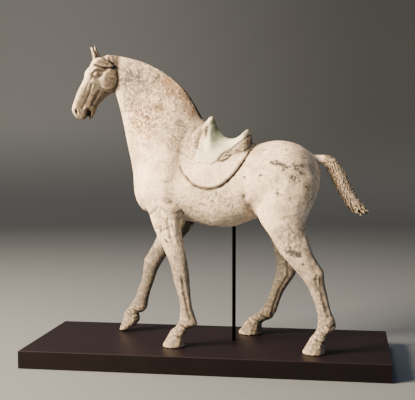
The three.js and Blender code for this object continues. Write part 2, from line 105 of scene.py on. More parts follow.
# Strokes of the modelling tool: side, path, half width, depth in millimetres, and the soil left in it, which
# in some strokes is painted shade.
# A minus depth raises a ridge.
HEAD_STROKES = [
    (BOTH, [(-40.2, 88.9), (-40.9, 88.1), (-41.6, 87.1), (-42.1, 85.9), (-42.7, 84.6)], 0.30, 0.9, 0.55),
    (BOTH, [(-40.3, 86.6), (-40.8, 84.9), (-41.7, 83.1), (-42.6, 81.4), (-43.3, 80.1), (-44.0, 78.9)],
     0.34, 1.7, 0.9),
    (BOTH, [(-37.7, 84.7), (-38.6, 83.4), (-39.4, 82.1), (-40.2, 80.9), (-40.7, 79.7)], 0.36, 1.9, 0.9),
    (BOTH, [(-39.0, 85.2), (-39.9, 83.5), (-40.9, 81.8), (-41.8, 80.3)], 0.42, -1.0, 0.0),
    (BOTH, [(-31.3, 91.4), (-30.9, 89.7), (-30.8, 87.9), (-31.2, 86.2), (-32.0, 85.0), (-33.2, 84.5),
            (-34.4, 84.5), (-36.0, 84.9), (-37.2, 85.6)], 0.34, 1.2, 0.55),
    (BOTH, [(-32.6, 85.9), (-33.7, 85.4), (-34.9, 85.4), (-36.1, 85.9)], 0.34, -0.8, 0.0),
    # Round the eye and in it, the dark filling is painted shade.
    (BOTH, [(-39.9, 89.6), (-39.8, 90.6), (-39.2, 91.2), (-38.2, 91.6), (-37.2, 91.4), (-36.2, 91.1),
            (-34.9, 91.4)], 0.36, 1.4, 1.0),
    (BOTH, [(-39.3, 89.4), (-38.5, 89.0), (-37.6, 89.0), (-36.8, 89.5), (-36.3, 90.2)], 0.34, 1.1, 0.95),
    (BOTH, [(-38.5, 90.0), (-37.7, 89.9)], 0.62, 0.0, 1.0),
    (BOTH, [(-39.6, 92.0), (-38.6, 92.3), (-37.4, 92.1), (-36.0, 91.8)], 0.34, -0.7, 0.0),
    # The nostril slits: their dark filling is painted shade.
    (BOTH, [(-46.1, 78.5), (-45.9, 77.6), (-45.9, 76.8)], 0.26, 2.2, 1.0),
    (BOTH, [(-45.3, 78.6), (-45.0, 77.9), (-44.5, 77.2)], 0.24, 1.1, 0.7),
    (BOTH, [(-46.5, 79.2), (-45.7, 79.4), (-45.0, 78.9)], 0.30, -0.8, 0.0),
    (BOTH, [(-43.7, 77.4), (-43.3, 78.4), (-42.6, 79.2), (-41.7, 79.6), (-40.7, 79.4), (-40.0, 78.5),
            (-39.9, 77.3), (-40.3, 76.2)], 0.30, -1.1, 0.0),
    # The back of the open mouth: its dark filling is painted shade.
    (BOTH, [(-41.7, 78.3), (-41.8, 77.2), (-41.9, 75.9)], 0.62, 1.6, 1.0),
    # Under the forelock and in its grooves, the dark filling is painted shade.
    (BOTH, [(-39.0, 93.2), (-37.8, 92.7), (-36.1, 92.3), (-34.3, 92.0), (-32.3, 92.1)], 0.28, 1.6, 1.0),
    (BOTH, [(-38.8, 94.2), (-37.4, 93.4), (-35.7, 92.9), (-34.0, 92.7), (-32.3, 92.8)], 0.30, -0.9, 0.0),
    (BOTH, [(-37.6, 95.3), (-36.7, 94.5), (-35.5, 93.8), (-34.2, 93.5)], 0.26, 1.0, 0.55),
    (BOTH, [(-34.5, 95.6), (-34.0, 94.8), (-33.5, 94.1), (-32.6, 93.6)], 0.30, 1.3, 0.8),
    (BOTH, [(-36.4, 96.0), (-35.6, 95.2), (-34.9, 94.6)], 0.22, 0.8, 0.5),
    (BOTH, [(-33.1, 96.0), (-32.6, 95.2), (-32.0, 94.5)], 0.24, 0.9, 0.5),
]
SADDLE_STROKES = [
    (BOTH, [(1.7, 73.8), (1.8, 72.0), (1.9, 70.0), (2.2, 68.6)], 1.5, 2.5, 0.0),
    (BOTH, [(0.7, 75.2), (-0.3, 74.4), (-1.0, 73.2), (-1.4, 71.8), (-1.5, 70.0)], 0.6, -1.8, 0.0),
    (BOTH, [(-0.5, 72.6), (-0.9, 71.2), (-0.9, 69.6)], 0.30, 0.6, 0.45),
    (BOTH, [(0.9, 73.6), (-0.1, 72.3), (-0.8, 71.0), (-0.9, 69.7)], 0.40, 0.9, 0.5),
    (BOTH, [(-1.0, 73.2), (-0.1, 74.4), (0.9, 75.6)], 0.40, -0.7, 0.0),
    (BOTH, [(13.4, 69.6), (12.2, 68.7), (10.7, 67.6), (8.0, 65.6), (6.4, 64.6), (5.0, 63.5), (4.1, 62.2),
            (3.6, 61.2), (2.3, 60.3)], 0.30, 1.1, 0.8),
    (BOTH, [(13.6, 69.7), (14.5, 68.1), (15.4, 66.7)], 0.20, 0.7, 0.40),
    (BOTH, [(2.4, 60.4), (0.6, 60.5), (-1.1, 60.7), (-2.6, 61.0)], 0.26, 0.3, 0.35),
    (BOTH, [(3.6, 60.9), (5.7, 61.2), (7.2, 62.3), (8.8, 63.5), (10.4, 64.1), (12.0, 64.5), (13.5, 65.6)],
     0.26, 0.6, 0.45),
    # Along the saddlecloth's lower edge, the dark band is painted shadow under the raised edge.
    (BOTH, [(-6.3, 56.2), (-5.0, 54.8), (-3.4, 53.4), (-1.7, 52.5), (0.9, 52.1), (3.2, 52.3), (5.4, 53.2),
            (7.5, 54.8)], 0.54, 2.2, 0.95),
    (BOTH, [(7.5, 54.8), (9.3, 56.7), (10.9, 58.8), (12.5, 61.4)], 0.42, 2.0, 0.72),
    (BOTH, [(12.5, 61.4), (13.6, 63.8), (14.5, 65.4), (15.6, 66.8)], 0.34, 1.6, 0.60),
    (BOTH, [(-8.6, 59.4), (-7.6, 57.4), (-6.3, 56.2)], 0.40, 0.9, 0.80),
    (BOTH, [(-5.6, 57.0), (-4.2, 55.3), (-2.6, 54.0), (-0.6, 53.3), (1.5, 53.2), (3.6, 53.6), (5.6, 54.8),
            (7.4, 56.5), (9.0, 58.5), (10.6, 61.0), (12.0, 63.6)], 0.50, -0.9, 0.0),
    (BOTH, [(-1.1, 72.2), (-2.4, 70.3), (-3.2, 68.0), (-3.7, 65.2)], 0.40, 1.1, 0.35),
    (BOTH, [(-2.3, 72.6), (-3.7, 70.4), (-4.6, 68.0), (-5.0, 65.2)], 0.55, -1.1, 0.0),
    (BOTH, [(-4.4, 72.2), (-5.5, 70.0), (-6.4, 67.4), (-7.0, 64.8)], 0.45, 1.1, 0.3),
    (BOTH, [(-8.4, 63.9), (-6.6, 62.8), (-4.8, 61.7)], 0.26, 0.5, 0.45),
    (BOTH, [(-5.2, 60.6), (-4.6, 60.1), (-3.8, 60.2)], 0.2, 0.4, 0.4),
]
BODY_STROKES = [
    (NEAR, [(-7.1, 70.9), (-8.1, 67.4), (-8.8, 63.1), (-9.8, 59.6), (-10.9, 56.0), (-11.5, 51.7),
            (-11.5, 48.1)], 1.5, 2.2, 0.10),
    (OFF, [(-7.1, 70.9), (-8.1, 67.4), (-8.8, 63.1), (-9.8, 59.6), (-10.9, 56.0), (-12.5, 51.7)],
     1.5, 2.0, 0.10),
    (NEAR, [(-19.6, 42.9), (-17.9, 44.5), (-15.9, 46.0)], 0.46, 1.8, 1.0),
    (NEAR, [(-16.4, 48.8), (-16.6, 47.5), (-16.5, 46.2)], 0.32, 0.8, 0.35),
    (NEAR, [(-14.5, 45.9), (-13.2, 45.0), (-11.5, 44.6), (-9.7, 44.2), (-8.2, 44.9)], 0.42, 1.5, 0.60),
    (NEAR, [(-14.4, 47.4), (-12.8, 46.6), (-10.8, 46.1)], 0.6, -1.0, 0.0),
    (NEAR, [(-9.4, 46.9), (-8.4, 45.5), (-7.8, 44.0)], 0.4, 1.3, 0.45),
    (NEAR, [(24.4, 42.9), (27.6, 43.6), (31.0, 44.5)], 0.45, 0.6, 0.20),
    (NEAR, [(12.9, 50.0), (13.7, 47.5), (14.7, 45.2), (16.1, 43.0)], 1.0, 2.0, 0.2),
    (OFF, [(12.9, 50.0), (13.7, 47.5), (14.7, 45.2), (16.1, 43.0)], 1.0, 1.6, 0.2),
    (NEAR, [(12.3, 57.8), (12.5, 53.9), (13.0, 50.1)], 1.2, 1.0, 0.0),
]
NEAR_LEG_STROKES = [
    (NEAR, [(-14.8, 45.0), (-14.4, 42.4)], 0.3, 0.7, 0.35),
    (NEAR, [(-10.4, 41.8), (-10.1, 39.2), (-9.8, 36.6), (-9.6, 34.6)], 0.5, -1.0, 0.0),
    (NEAR, [(-12.2, 42.4), (-12.0, 39.5), (-11.3, 36.4)], 0.4, 1.2, 0.35),
    (NEAR, [(-11.4, 40.2), (-10.9, 38.4), (-10.4, 36.7)], 0.28, -0.9, 0.0),
    (NEAR, [(-9.2, 43.8), (-9.2, 40.8), (-9.0, 37.0)], 0.4, 1.1, 0.35),
    (NEAR, [(-7.9, 23.5), (-7.5, 21.8), (-7.1, 18.5), (-6.5, 15.2), (-5.8, 12.3), (-5.0, 10.0)],
     0.50, 1.7, 0.42),
    (NEAR, [(-8.4, 22.5), (-8.1, 18.5), (-7.5, 15.0), (-6.8, 12.0)], 0.45, -0.6, 0.0),
    (NEAR, [(-8.2, 7.7), (-6.7, 6.6), (-4.7, 6.6), (-2.7, 7.4)], 0.36, 1.5, 0.9),
    (NEAR, [(-11.8, 5.8), (-10.6, 4.6), (-9.0, 3.8), (-7.5, 3.3), (-6.5, 3.9)], 0.34, 1.1, 0.35),
    (NEAR, [(-11.6, 6.4), (-10.4, 5.3), (-8.9, 4.5), (-7.6, 4.1)], 0.35, -0.6, 0.0),
    (NEAR, [(-9.2, 3.4), (-10.5, 2.8), (-10.9, 1.9), (-9.9, 1.1)], 0.22, 0.5, 0.4),
    (NEAR, [(33.3, 29.8), (34.6, 27.9), (36.1, 25.7)], 0.4, 0.8, 0.2),
    (NEAR, [(36.1, 25.1), (35.7, 23.5), (36.0, 22.2), (36.8, 20.5)], 0.42, 1.3, 0.6),
    (NEAR, [(37.2, 24.2), (37.2, 21.3), (37.9, 18.5), (38.9, 15.3), (39.7, 12.4)], 0.50, 1.7, 0.42),
    (NEAR, [(36.6, 20.6), (36.9, 17.6), (37.9, 14.3), (38.6, 11.6)], 0.45, -0.6, 0.0),
    (NEAR, [(39.3, 9.4), (40.7, 8.7), (42.2, 9.9)], 0.36, 1.4, 0.9),
    (NEAR, [(34.0, 6.2), (35.4, 5.1), (37.3, 4.2), (39.3, 3.5)], 0.34, 1.1, 0.30),
    (NEAR, [(34.2, 6.9), (35.6, 5.8), (37.4, 4.9), (39.2, 4.3)], 0.35, -0.6, 0.0),
]
OFF_LEG_STROKES = [
    # Painted shadow on the top of the off foreleg, behind the near leg: it cuts nothing and is only dark.
    (BOTH, [(-10.9, 35.6), (-8.6, 38.4), (-6.4, 41.0), (-5.0, 43.0)], 2.2, 0.0, 1.30),
    (BOTH, [(25.0, 26.3), (25.3, 23.5), (25.2, 21.1), (24.0, 19.3), (22.4, 16.3), (21.2, 12.9),
            (20.2, 9.7), (19.5, 7.3)], 0.46, 1.6, 0.55),
    (BOTH, [(16.0, 7.0), (17.8, 6.1), (19.9, 5.0)], 0.36, 1.3, 0.8),
    (BOTH, [(-22.5, 16.9), (-23.4, 14.1), (-24.3, 10.5), (-24.5, 7.6)], 0.46, 1.5, 0.4),
    (BOTH, [(-29.1, 8.0), (-26.9, 6.8), (-24.6, 5.8)], 0.36, 1.3, 0.7),
    (BOTH, [(-32.2, 7.2), (-30.2, 5.6), (-28.0, 5.0)], 0.3, 1.0, 0.4),
    (BOTH, [(11.5, 6.8), (14.0, 5.3), (16.5, 4.3)], 0.3, 1.0, 0.4),
]

# Round dents, or bosses where the depth is negative: side, along, above, across, up, and the
# depth in millimetres.
DABS = [
    (BOTH, -38.0, 90.2, 1.8, 1.2, 2.4), (BOTH, -38.1, 90.1, 0.80, 0.60, -2.6),
    (BOTH, -35.9, 91.6, 1.2, 0.7, 0.8), (BOTH, -38.4, 91.9, 1.8, 0.5, -1.1),
    (BOTH, -39.2, 87.4, 1.6, 0.7, -0.7), (BOTH, -37.2, 87.6, 1.2, 1.0, 0.2),
    (BOTH, -41.4, 90.6, 1.2, 1.2, -0.6), (BOTH, -33.4, 88.0, 2.0, 2.2, 0.8),
    (BOTH, -44.4, 79.8, 1.0, 0.9, 0.5), (BOTH, -42.2, 80.8, 1.2, 0.8, 0.8),
    (NEAR, -12.4, 24.8, 1.4, 2.4, -0.7), (NEAR, -8.6, 30.0, 1.2, 2.0, 0.6),
    (NEAR, 35.2, 27.2, 1.2, 1.6, 0.7), (NEAR, 37.6, 25.6, 0.9, 1.2, -0.7),
    (NEAR, 33.4, 24.4, 1.2, 1.6, -0.6), (NEAR, 27.0, 36.0, 2.2, 3.4, -1.0),
    (NEAR, 31.2, 36.0, 1.0, 3.4, 1.0), (NEAR, -18.5, 53.0, 3.2, 4.0, -1.6),
    (NEAR, -14.2, 57.0, 2.2, 5.0, 1.2), (OFF, -18.5, 53.0, 3.2, 4.0, -1.6),
    (OFF, 25.0, 36.0, 2.2, 3.4, -1.0), (NEAR, 17.0, 60.5, 2.4, 3.0, 0.9),
    (NEAR, 3.0, 47.0, 5.0, 2.4, -0.8), (OFF, 17.0, 60.5, 2.4, 3.0, 0.9),
    (BOTH, -11.4, 3.2, 0.8, 1.0, 0.7), (BOTH, -9.6, 2.3, 0.9, 0.6, 0.8),
    (BOTH, -8.2, 4.6, 0.8, 0.5, -0.9), (BOTH, -6.0, 5.6, 0.7, 0.5, 1.0),
    (BOTH, -3.6, 6.4, 0.6, 0.5, -1.0), (BOTH, 36.0, 3.4, 0.9, 0.8, 0.8),
    (BOTH, 38.2, 4.7, 0.8, 0.5, -0.9), (BOTH, 34.6, 4.9, 0.7, 0.6, 0.7),
    (BOTH, 40.9, 8.0, 0.6, 0.5, -0.9),
]

# The inside of the open mouth, seen from the side, which is filled with painted shade.
MOUTH_OUTLINE = [(-44.6, 73.4), (-43.9, 75.2), (-43.0, 76.2), (-42.8, 77.6), (-42.0, 78.6), (-41.0, 78.2),
                 (-40.8, 76.9), (-41.4, 75.8), (-42.6, 75.0), (-43.0, 73.4)]
# The heights between which a line of painted shade runs along the back edge of the neck's crest, beside its
# slot.
CREST_FOOT = 73.4
CREST_HEAD = 91.0

# The clay was smoothed over by hand where a leg grows out of the trunk, where the saddle's flaps
# run up to the pommel, and between the jowls and the cheeks: along, above, side, reach, and how
# far the surface may move there, in millimetres.
BLENDS = [
    (22.0, 50.0, NEAR, 11.0, 6.0), (30.0, 52.0, NEAR, 9.0, 6.0), (26.0, 41.0, NEAR, 8.0, 6.0),
    (20.0, 50.0, OFF, 11.0, 6.0), (29.0, 52.0, OFF, 9.0, 6.0), (19.0, 41.0, OFF, 8.0, 6.0),
    (-14.0, 50.0, NEAR, 8.5, 6.0), (-12.0, 43.0, NEAR, 4.5, 6.0),
    (-19.0, 49.0, OFF, 8.5, 6.0), (-17.0, 42.0, OFF, 5.0, 6.0),
    (1.2, 69.6, NEAR, 5.6, 6.5), (1.2, 69.6, OFF, 5.6, 6.5), (11.0, 66.5, NEAR, 3.0, 3.0),
    (-36.6, 87.2, NEAR, 3.0, 2.5), (-36.6, 87.2, OFF, 3.0, 2.5),
]

# Soil stains, and patches of painted shade: side, along, above, radius across, radius up, strength. An all
# round one takes every face there, whichever way it turns.
DARK_STAINS = [
    (NEAR, 21.4, 61.1, 0.4, 0.5, 0.9), (NEAR, 22.0, 60.4, 0.4, 0.4, 0.7),
    (NEAR, 22.9, 61.2, 0.8, 0.35, 0.7), (NEAR, 23.3, 60.3, 1.4, 0.35, 1.0),
    (NEAR, 24.2, 60.9, 0.4, 0.4, 0.6), (NEAR, 24.9, 60.2, 0.7, 0.35, 0.9),
    (NEAR, 25.5, 59.2, 0.5, 0.9, 1.0), (NEAR, 25.3, 58.4, 0.3, 0.3, 0.8),
    (NEAR, 26.5, 59.4, 0.7, 0.3, 0.8), (NEAR, 27.4, 59.6, 0.8, 0.3, 0.8),
    (NEAR, 28.2, 60.4, 0.45, 0.3, 0.9), (NEAR, 29.3, 59.2, 1.3, 0.9, 0.5),
    (NEAR, 31.2, 59.8, 1.2, 0.8, 0.4), (NEAR, 28.4, 56.0, 0.5, 0.4, 0.7),
    (NEAR, 30.6, 55.0, 0.4, 0.3, 0.6), (NEAR, 27.6, 50.9, 0.4, 0.3, 0.9),
    (NEAR, 27.6, 49.3, 0.4, 0.35, 0.9), (NEAR, 23.6, 51.3, 0.25, 0.7, 0.6),
    (NEAR, 18.1, 56.7, 0.3, 0.3, 0.9), (NEAR, 12.7, 56.2, 0.35, 0.3, 0.7),
    (NEAR, 31.6, 62.3, 0.5, 0.35, 0.7), (NEAR, 26.0, 64.8, 0.6, 0.3, 0.5),
    (NEAR, 32.6, 53.0, 0.3, 0.25, 0.6), (NEAR, 17.1, 62.2, 0.45, 0.45, 0.25),
    (NEAR, 19.3, 62.0, 0.4, 0.4, 0.25), (NEAR, 28.2, 32.1, 2.0, 0.8, 0.85),
    (NEAR, 30.4, 31.3, 1.1, 0.7, 0.7), (NEAR, 27.9, 33.8, 0.6, 0.3, 0.8),
    (NEAR, 26.2, 33.0, 0.6, 0.3, 0.4), (NEAR, 31.7, 28.6, 0.5, 0.5, 0.6),
    (NEAR, 24.5, 37.0, 0.25, 0.25, 0.8), (NEAR, 27.0, 38.3, 0.25, 0.25, 0.6),
    # The second stain on this line, on the pommel's front, is painted shade.
    (NEAR, 29.4, 36.0, 0.3, 0.5, 0.4), (NEAR, -0.9, 71.3, 0.7, 1.6, 0.34),
    (NEAR, 28.7, 55.5, 2.0, 1.4, 0.36), (NEAR, 31.0, 57.4, 1.5, 1.2, 0.27),
    (NEAR, 35.8, 24.1, 1.0, 0.6, 0.4), (NEAR, -15.0, 39.4, 0.7, 0.7, 0.7),
    (NEAR, -14.8, 38.1, 0.4, 0.4, 0.6), (NEAR, -12.7, 39.3, 0.3, 0.3, 0.8),
    (NEAR, -13.3, 35.5, 0.35, 0.3, 0.8), (NEAR, -12.5, 34.9, 0.4, 0.3, 0.8),
    (NEAR, -9.2, 34.8, 0.3, 0.3, 0.7), (NEAR, -13.9, 54.7, 0.35, 0.2, 0.8),
    (NEAR, -12.8, 54.6, 0.25, 0.2, 0.7), (NEAR, -21.0, 48.3, 0.3, 0.3, 0.6),
    (NEAR, -10.0, 29.7, 0.3, 0.3, 0.6), (NEAR, -4.5, 46.0, 3.4, 2.6, 0.14),
    (NEAR, 4.0, 49.8, 4.0, 2.2, 0.16), (OFF, 24.0, 55.0, 2.6, 1.5, 0.3),
    (OFF, 8.0, 48.0, 3.0, 2.0, 0.3), (OFF, -16.0, 55.0, 2.0, 2.6, 0.25),
    (OFF, 27.0, 60.0, 0.8, 0.4, 0.7), (OFF, 29.0, 58.6, 0.9, 0.5, 0.6),
    (NEAR, -8.0, 77.5, 0.3, 0.3, 0.6), (NEAR, 12.2, 70.6, 1.4, 0.9, 0.4),
]
BROWN_STAINS = [
    (NEAR, 28.3, 56.2, 1.2, 0.9, 0.9), (NEAR, 28.6, 53.8, 0.5, 1.4, 0.4),
    (NEAR, 14.2, 45.8, 1.4, 2.4, 0.5), (NEAR, -11.2, 52.0, 2.2, 9.0, 0.18),
    (NEAR, -8.6, 62.0, 1.6, 6.0, 0.14), (NEAR, -42.7, 80.4, 1.2, 0.9, 0.6),
    (NEAR, 23.5, 51.5, 0.5, 0.9, 0.5), (NEAR, 27.0, 43.4, 3.4, 0.8, 0.3),
    (OFF, 20.0, 52.0, 3.5, 2.5, 0.3), (BOTH, 12.0, 43.0, 4.0, 2.0, 0.3),
    # The second stain on this line, on the pommel's front, is painted shade.
    (NEAR, -14.9, 38.6, 0.8, 1.6, 0.35), (BOTH, -1.0, 71.0, 0.8, 2.0, 1.0),
]
# Patches of painted shade in a dull olive: the pommel's back, front and top, the seat and the cantle.
SADDLE_PAINTED_SHADE = [
    (ALL_ROUND, 1.8, 74.6, 0.9, 2.0, 0.95), (ALL_ROUND, 2.4, 72.4, 1.3, 2.0, 0.8),
    (ALL_ROUND, 13.6, 72.0, 1.4, 1.6, 0.85), (BOTH, 11.8, 69.9, 2.0, 0.8, 0.65),
    (BOTH, 3.2, 69.8, 1.6, 2.2, 0.3), (ALL_ROUND, -1.2, 71.2, 0.7, 1.6, 0.5),
    (ALL_ROUND, 0.4, 75.6, 0.5, 0.6, 0.6),
]
GREY_STAINS = [
    (NEAR, 31.2, 57.6, 1.6, 1.3, 0.75), (NEAR, 28.9, 55.4, 1.9, 1.5, 0.85),
    (NEAR, 31.5, 53.5, 1.4, 2.4, 0.5), (BOTH, -26.0, 89.0, 5.4, 6.0, 1.0),
    (BOTH, -27.5, 81.0, 3.4, 4.0, 0.4), (BOTH, -18.4, 88.6, 2.6, 2.2, 0.75),
    (BOTH, -20.5, 84.5, 2.4, 2.0, 0.5), (BOTH, 26.5, 38.0, 5.5, 5.0, 0.5),
    (BOTH, -12.0, 58.0, 2.0, 7.0, 0.30), (BOTH, 31.0, 58.0, 3.4, 3.0, 0.45),
    (BOTH, 33.0, 52.0, 2.6, 5.0, 0.45), (BOTH, 26.0, 46.5, 6.0, 2.4, 0.35),
    (BOTH, 1.5, 57.5, 1.2, 0.9, 0.4), (BOTH, -9.5, 73.5, 1.6, 2.6, 0.30),
    (BOTH, 30.0, 63.5, 3.6, 1.6, 0.3), (BOTH, 4.5, 50.5, 5.0, 1.6, 0.18),
    (BOTH, -2.6, 74.5, 1.2, 2.0, 0.6), (BOTH, -33.4, 88.2, 3.0, 3.6, 1.0),
]
TAN_STAINS = [
    (BOTH, -8.6, 82.6, 3.8, 4.4, 0.85), (BOTH, -14.6, 84.0, 3.6, 2.6, 0.75),
    (BOTH, -17.6, 79.0, 2.6, 1.6, 0.6), (BOTH, -5.6, 77.6, 2.0, 3.2, 0.6),
    (BOTH, -24.6, 79.5, 2.6, 2.4, 0.5), (BOTH, -27.6, 84.0, 1.8, 2.4, 0.3),
    (BOTH, -10.6, 68.0, 2.4, 3.6, 0.4), (BOTH, -20.0, 75.0, 3.0, 2.0, 0.4),
    (NEAR, -9.0, 59.0, 2.0, 4.0, 0.3),
]
ROSE_STAINS = [
    (NEAR, -23.4, 74.5, 4.6, 5.6, 0.95), (NEAR, -14.8, 87.6, 3.0, 2.2, 1.0),
    (NEAR, -19.6, 69.7, 2.0, 1.8, 0.95), (NEAR, -18.0, 78.0, 4.2, 3.0, 0.55),
    (NEAR, -11.6, 84.8, 3.0, 2.0, 0.7), (NEAR, -26.0, 68.0, 2.4, 4.0, 0.5),
    (NEAR, -8.0, 79.4, 2.6, 3.6, 0.5), (NEAR, -6.0, 67.6, 1.8, 3.4, 0.75),
    (NEAR, -4.6, 63.6, 1.8, 1.6, 0.65), (OFF, -20.0, 76.0, 8.0, 7.0, 0.7),
    (OFF, -12.0, 84.0, 6.0, 5.0, 0.6), (NEAR, -25.0, 63.0, 1.8, 3.0, 0.35),
]
# Where the slip is flaked and pitted most.
FLAKED = [
    (BOTH, -22.0, 76.0, 7.0, 8.0, 0.9), (BOTH, -14.5, 80.0, 7.0, 5.5, 0.8),
    (BOTH, -10.0, 71.0, 5.0, 6.0, 0.55), (BOTH, -18.0, 89.0, 5.0, 3.0, 0.5),
    (BOTH, 3.0, 48.0, 12.0, 3.6, 0.62), (BOTH, -3.0, 44.0, 6.0, 3.0, 0.5),
    (BOTH, -5.0, 66.0, 3.0, 4.0, 0.6), (BOTH, 27.0, 60.0, 5.0, 3.0, 0.35),
    (BOTH, 28.0, 36.0, 4.0, 4.0, 0.5), (BOTH, -14.0, 40.0, 4.0, 8.0, 0.5),
    (BOTH, -27.0, 90.0, 4.0, 4.0, 0.45), (BOTH, -8.5, 5.0, 5.0, 3.4, 0.9),
    (BOTH, 38.0, 5.5, 5.0, 4.0, 0.9), (BOTH, 15.0, 4.5, 4.0, 3.0, 0.7),
    (BOTH, -28.0, 6.0, 4.0, 4.0, 0.7),
]


def sweep(points, path):
    """How far each point is from a path, both seen from the side."""
    best = np.full(len(points), 1e9)
    for (ax, az), (bx, bz) in zip(path[:-1], path[1:]):
        run = np.array([bx - ax, bz - az])
        along = np.clip(((points - (ax, az)) @ run) / (run @ run), 0, 1)
        best = np.minimum(best, np.linalg.norm(points - (ax, az) - along[:, None] * run, axis=1))
    return best


def within(points, outline, feather):
    """1 inside an outline seen from the side, fading to 0 across its feathered edge."""
    inside = np.zeros(len(points), bool)
    closed = outline + outline[:1]
    for (ax, az), (bx, bz) in zip(closed[:-1], closed[1:]):
        if az == bz:
            continue
        crosses = (points[:, 1] < az) != (points[:, 1] < bz)
        inside ^= crosses & (points[:, 0] < ax + (points[:, 1] - az) * (bx - ax) / (bz - az))
    gap = sweep(points, closed)
    return np.clip(np.where(inside, gap, -gap) / feather + 0.5, 0, 1)


def clay_noise(points, size, seed):
    """Smooth random values from -1 to 1 in patches of this size, the same on every run."""
    grid = points / size + 31.7 * seed
    low = np.floor(grid).astype(np.int64)
    part = grid - low
    part = part * part * (3 - 2 * part)
    total = np.zeros(len(points))
    for corner in itertools.product((0, 1), repeat=3):
        cell = low + corner
        mixed = (cell[:, 0] * 73856093) ^ (cell[:, 1] * 19349663) ^ (cell[:, 2] * 83492791)
        mixed = (mixed * 1103515245 + 12345 * seed) & 0x7FFFFFFF
        mixed = ((mixed >> 13) ^ mixed) * 1274126177 & 0x7FFFFFFF
        value = (mixed >> 7 & 0xFFFF) / 32767.5 - 1
        share = np.prod(np.where(corner, part, 1 - part), axis=1)
        total += value * share
    return total


def ramp(values, low, high):
    """0 below low, 1 above high, smooth between."""
    share = np.clip((values - low) / (high - low), 0, 1)
    return share * share * (3 - 2 * share)


def side_view(points):
    """Points as (along, above ground) in hundredths of the figure's height."""
    return np.column_stack([points[:, 0] / UNIT, (points[:, 2] - GROUND) / UNIT])


def facing(points, normals, side, leg):
    """How squarely the clay faces the side that a stroke or a stain is made from."""
    if leg == "off":
        return np.clip(np.abs(normals[:, 1]) * 1.6, 0, 1) * ramp(points[:, 1], -0.002, 0.008)
    if side == ALL_ROUND:
        return np.ones(len(points))
    if side == BOTH:
        return np.clip(np.abs(normals[:, 1]) * 1.6, 0, 1)
    reach = ramp(points[:, 1] * side, -0.012, 0.004)
    return np.clip(normals[:, 1] * side * 1.6, 0, 1) * reach


def read_points(mesh):
    flat = np.empty(len(mesh.vertices) * 3, np.float32)
    mesh.vertices.foreach_get("co", flat)
    return flat.reshape(-1, 3).astype(float)


def read_normals(mesh):
    flat = np.empty(len(mesh.vertices) * 3, np.float32)
    mesh.vertex_normals.foreach_get("vector", flat)
    return flat.reshape(-1, 3).astype(float)


def read_edges(mesh):
    flat = np.empty(len(mesh.edges) * 2, np.int32)
    mesh.edges.foreach_get("vertices", flat)
    return flat.reshape(-1, 2)


def write_points(mesh, points):
    mesh.vertices.foreach_set("co", points.astype(np.float32).ravel())
    mesh.update()


def neighbour_mean(values, edges, count):
    """The mean of the values next to each point."""
    total = np.zeros_like(values)
    for axis in range(values.shape[1]):
        total[:, axis] = np.bincount(edges[:, 0], values[edges[:, 1], axis], len(values))
        total[:, axis] += np.bincount(edges[:, 1], values[edges[:, 0], axis], len(values))
    return total / count[:, None]


def rub(points, edges, rounds, share, limit):
    """Smooth the clay as a wet hand does, no point going further than its limit from where it began."""
    start = points.copy()
    count = np.maximum(np.bincount(edges.ravel(), minlength=len(points)), 1)
    for _ in range(rounds):
        points = points + (neighbour_mean(points, edges, count) - points) * share[:, None]
        drift = points - start
        length = np.maximum(np.linalg.norm(drift, axis=1), 1e-12)
        points = start + drift * np.minimum(1, limit / length)[:, None]
    return points


def baked_copy(piece, name):
    """The piece's mesh with its modifiers applied."""
    graph = bpy.context.evaluated_depsgraph_get()
    mesh = bpy.data.meshes.new_from_object(piece.evaluated_get(graph), depsgraph=graph)
    mesh.name = name
    return mesh


def new_piece(name, mesh):
    piece = bpy.data.objects.new(name, mesh)
    bpy.context.scene.collection.objects.link(piece)
    return piece


def merged_copy(node, name):
    """A copy of a CAD node's mesh with its loose triangles joined up."""
    shell = bmesh.new()
    shell.from_mesh(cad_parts[node].data)
    bmesh.ops.remove_doubles(shell, verts=shell.verts, dist=1e-6)
    mesh = bpy.data.meshes.new(name)
    shell.to_mesh(mesh)
    shell.free()
    return mesh


def weights_of(points):
    """How much each part of the figure is rubbed smooth, and how far it may move."""
    seen = side_view(points)
    head = within(seen, HEAD_OUTLINE, 1.5)
    tail = within(seen, TAIL_OUTLINE, 1.5)
    leg = ramp(-seen[:, 1], -LEG_TOP, -36)
    hoof = ramp(-seen[:, 1], -HOOF_TOP, -5.5)
    saddle = np.maximum(within(seen, FLAP_OUTLINE, 1.5), within(seen, FELT_OUTLINE, 1.5))
    peak = ramp(seen[:, 1], 70.5, 73.0) * within(seen, [(-4, 70), (-4, 82), (17, 82), (17, 70)], 1.0)
    spread = np.full(len(points), 8.0)
    limit = np.full(len(points), 1.1)
    for mask, width, reach in ((leg, 3.2, 0.7), (saddle, 4.0, 0.9), (peak, 2.0, 0.5), (tail, 3.0, 0.7),
                               (head, 1.9, 0.5), (hoof, 2.0, 0.5)):
        spread += (width - spread) * mask
        limit += (reach - limit) * mask
    for along, above, side, reach, most in BLENDS:
        away = np.hypot(seen[:, 0] - along, seen[:, 1] - above)
        close = ramp(-away, -reach, -reach * 0.6) * ramp(points[:, 1] * side, -0.02, 0.0)
        spread += (np.maximum(spread, 8.0) - spread) * close
        limit += (most - limit) * close
    return spread, limit / 1000


STROKE_GROUPS = ((HEAD_STROKES, "", 0.08), (SADDLE_STROKES, "", 0.07), (BODY_STROKES, "", 0.22),
                 (NEAR_LEG_STROKES, "", 0.16), (OFF_LEG_STROKES, "off", 0.16))


def sway_of(points):
    """A small sideways shake, so that no stroke runs ruler-straight."""
    return np.column_stack([clay_noise(points, 0.009, 4), clay_noise(points, 0.009, 5)])


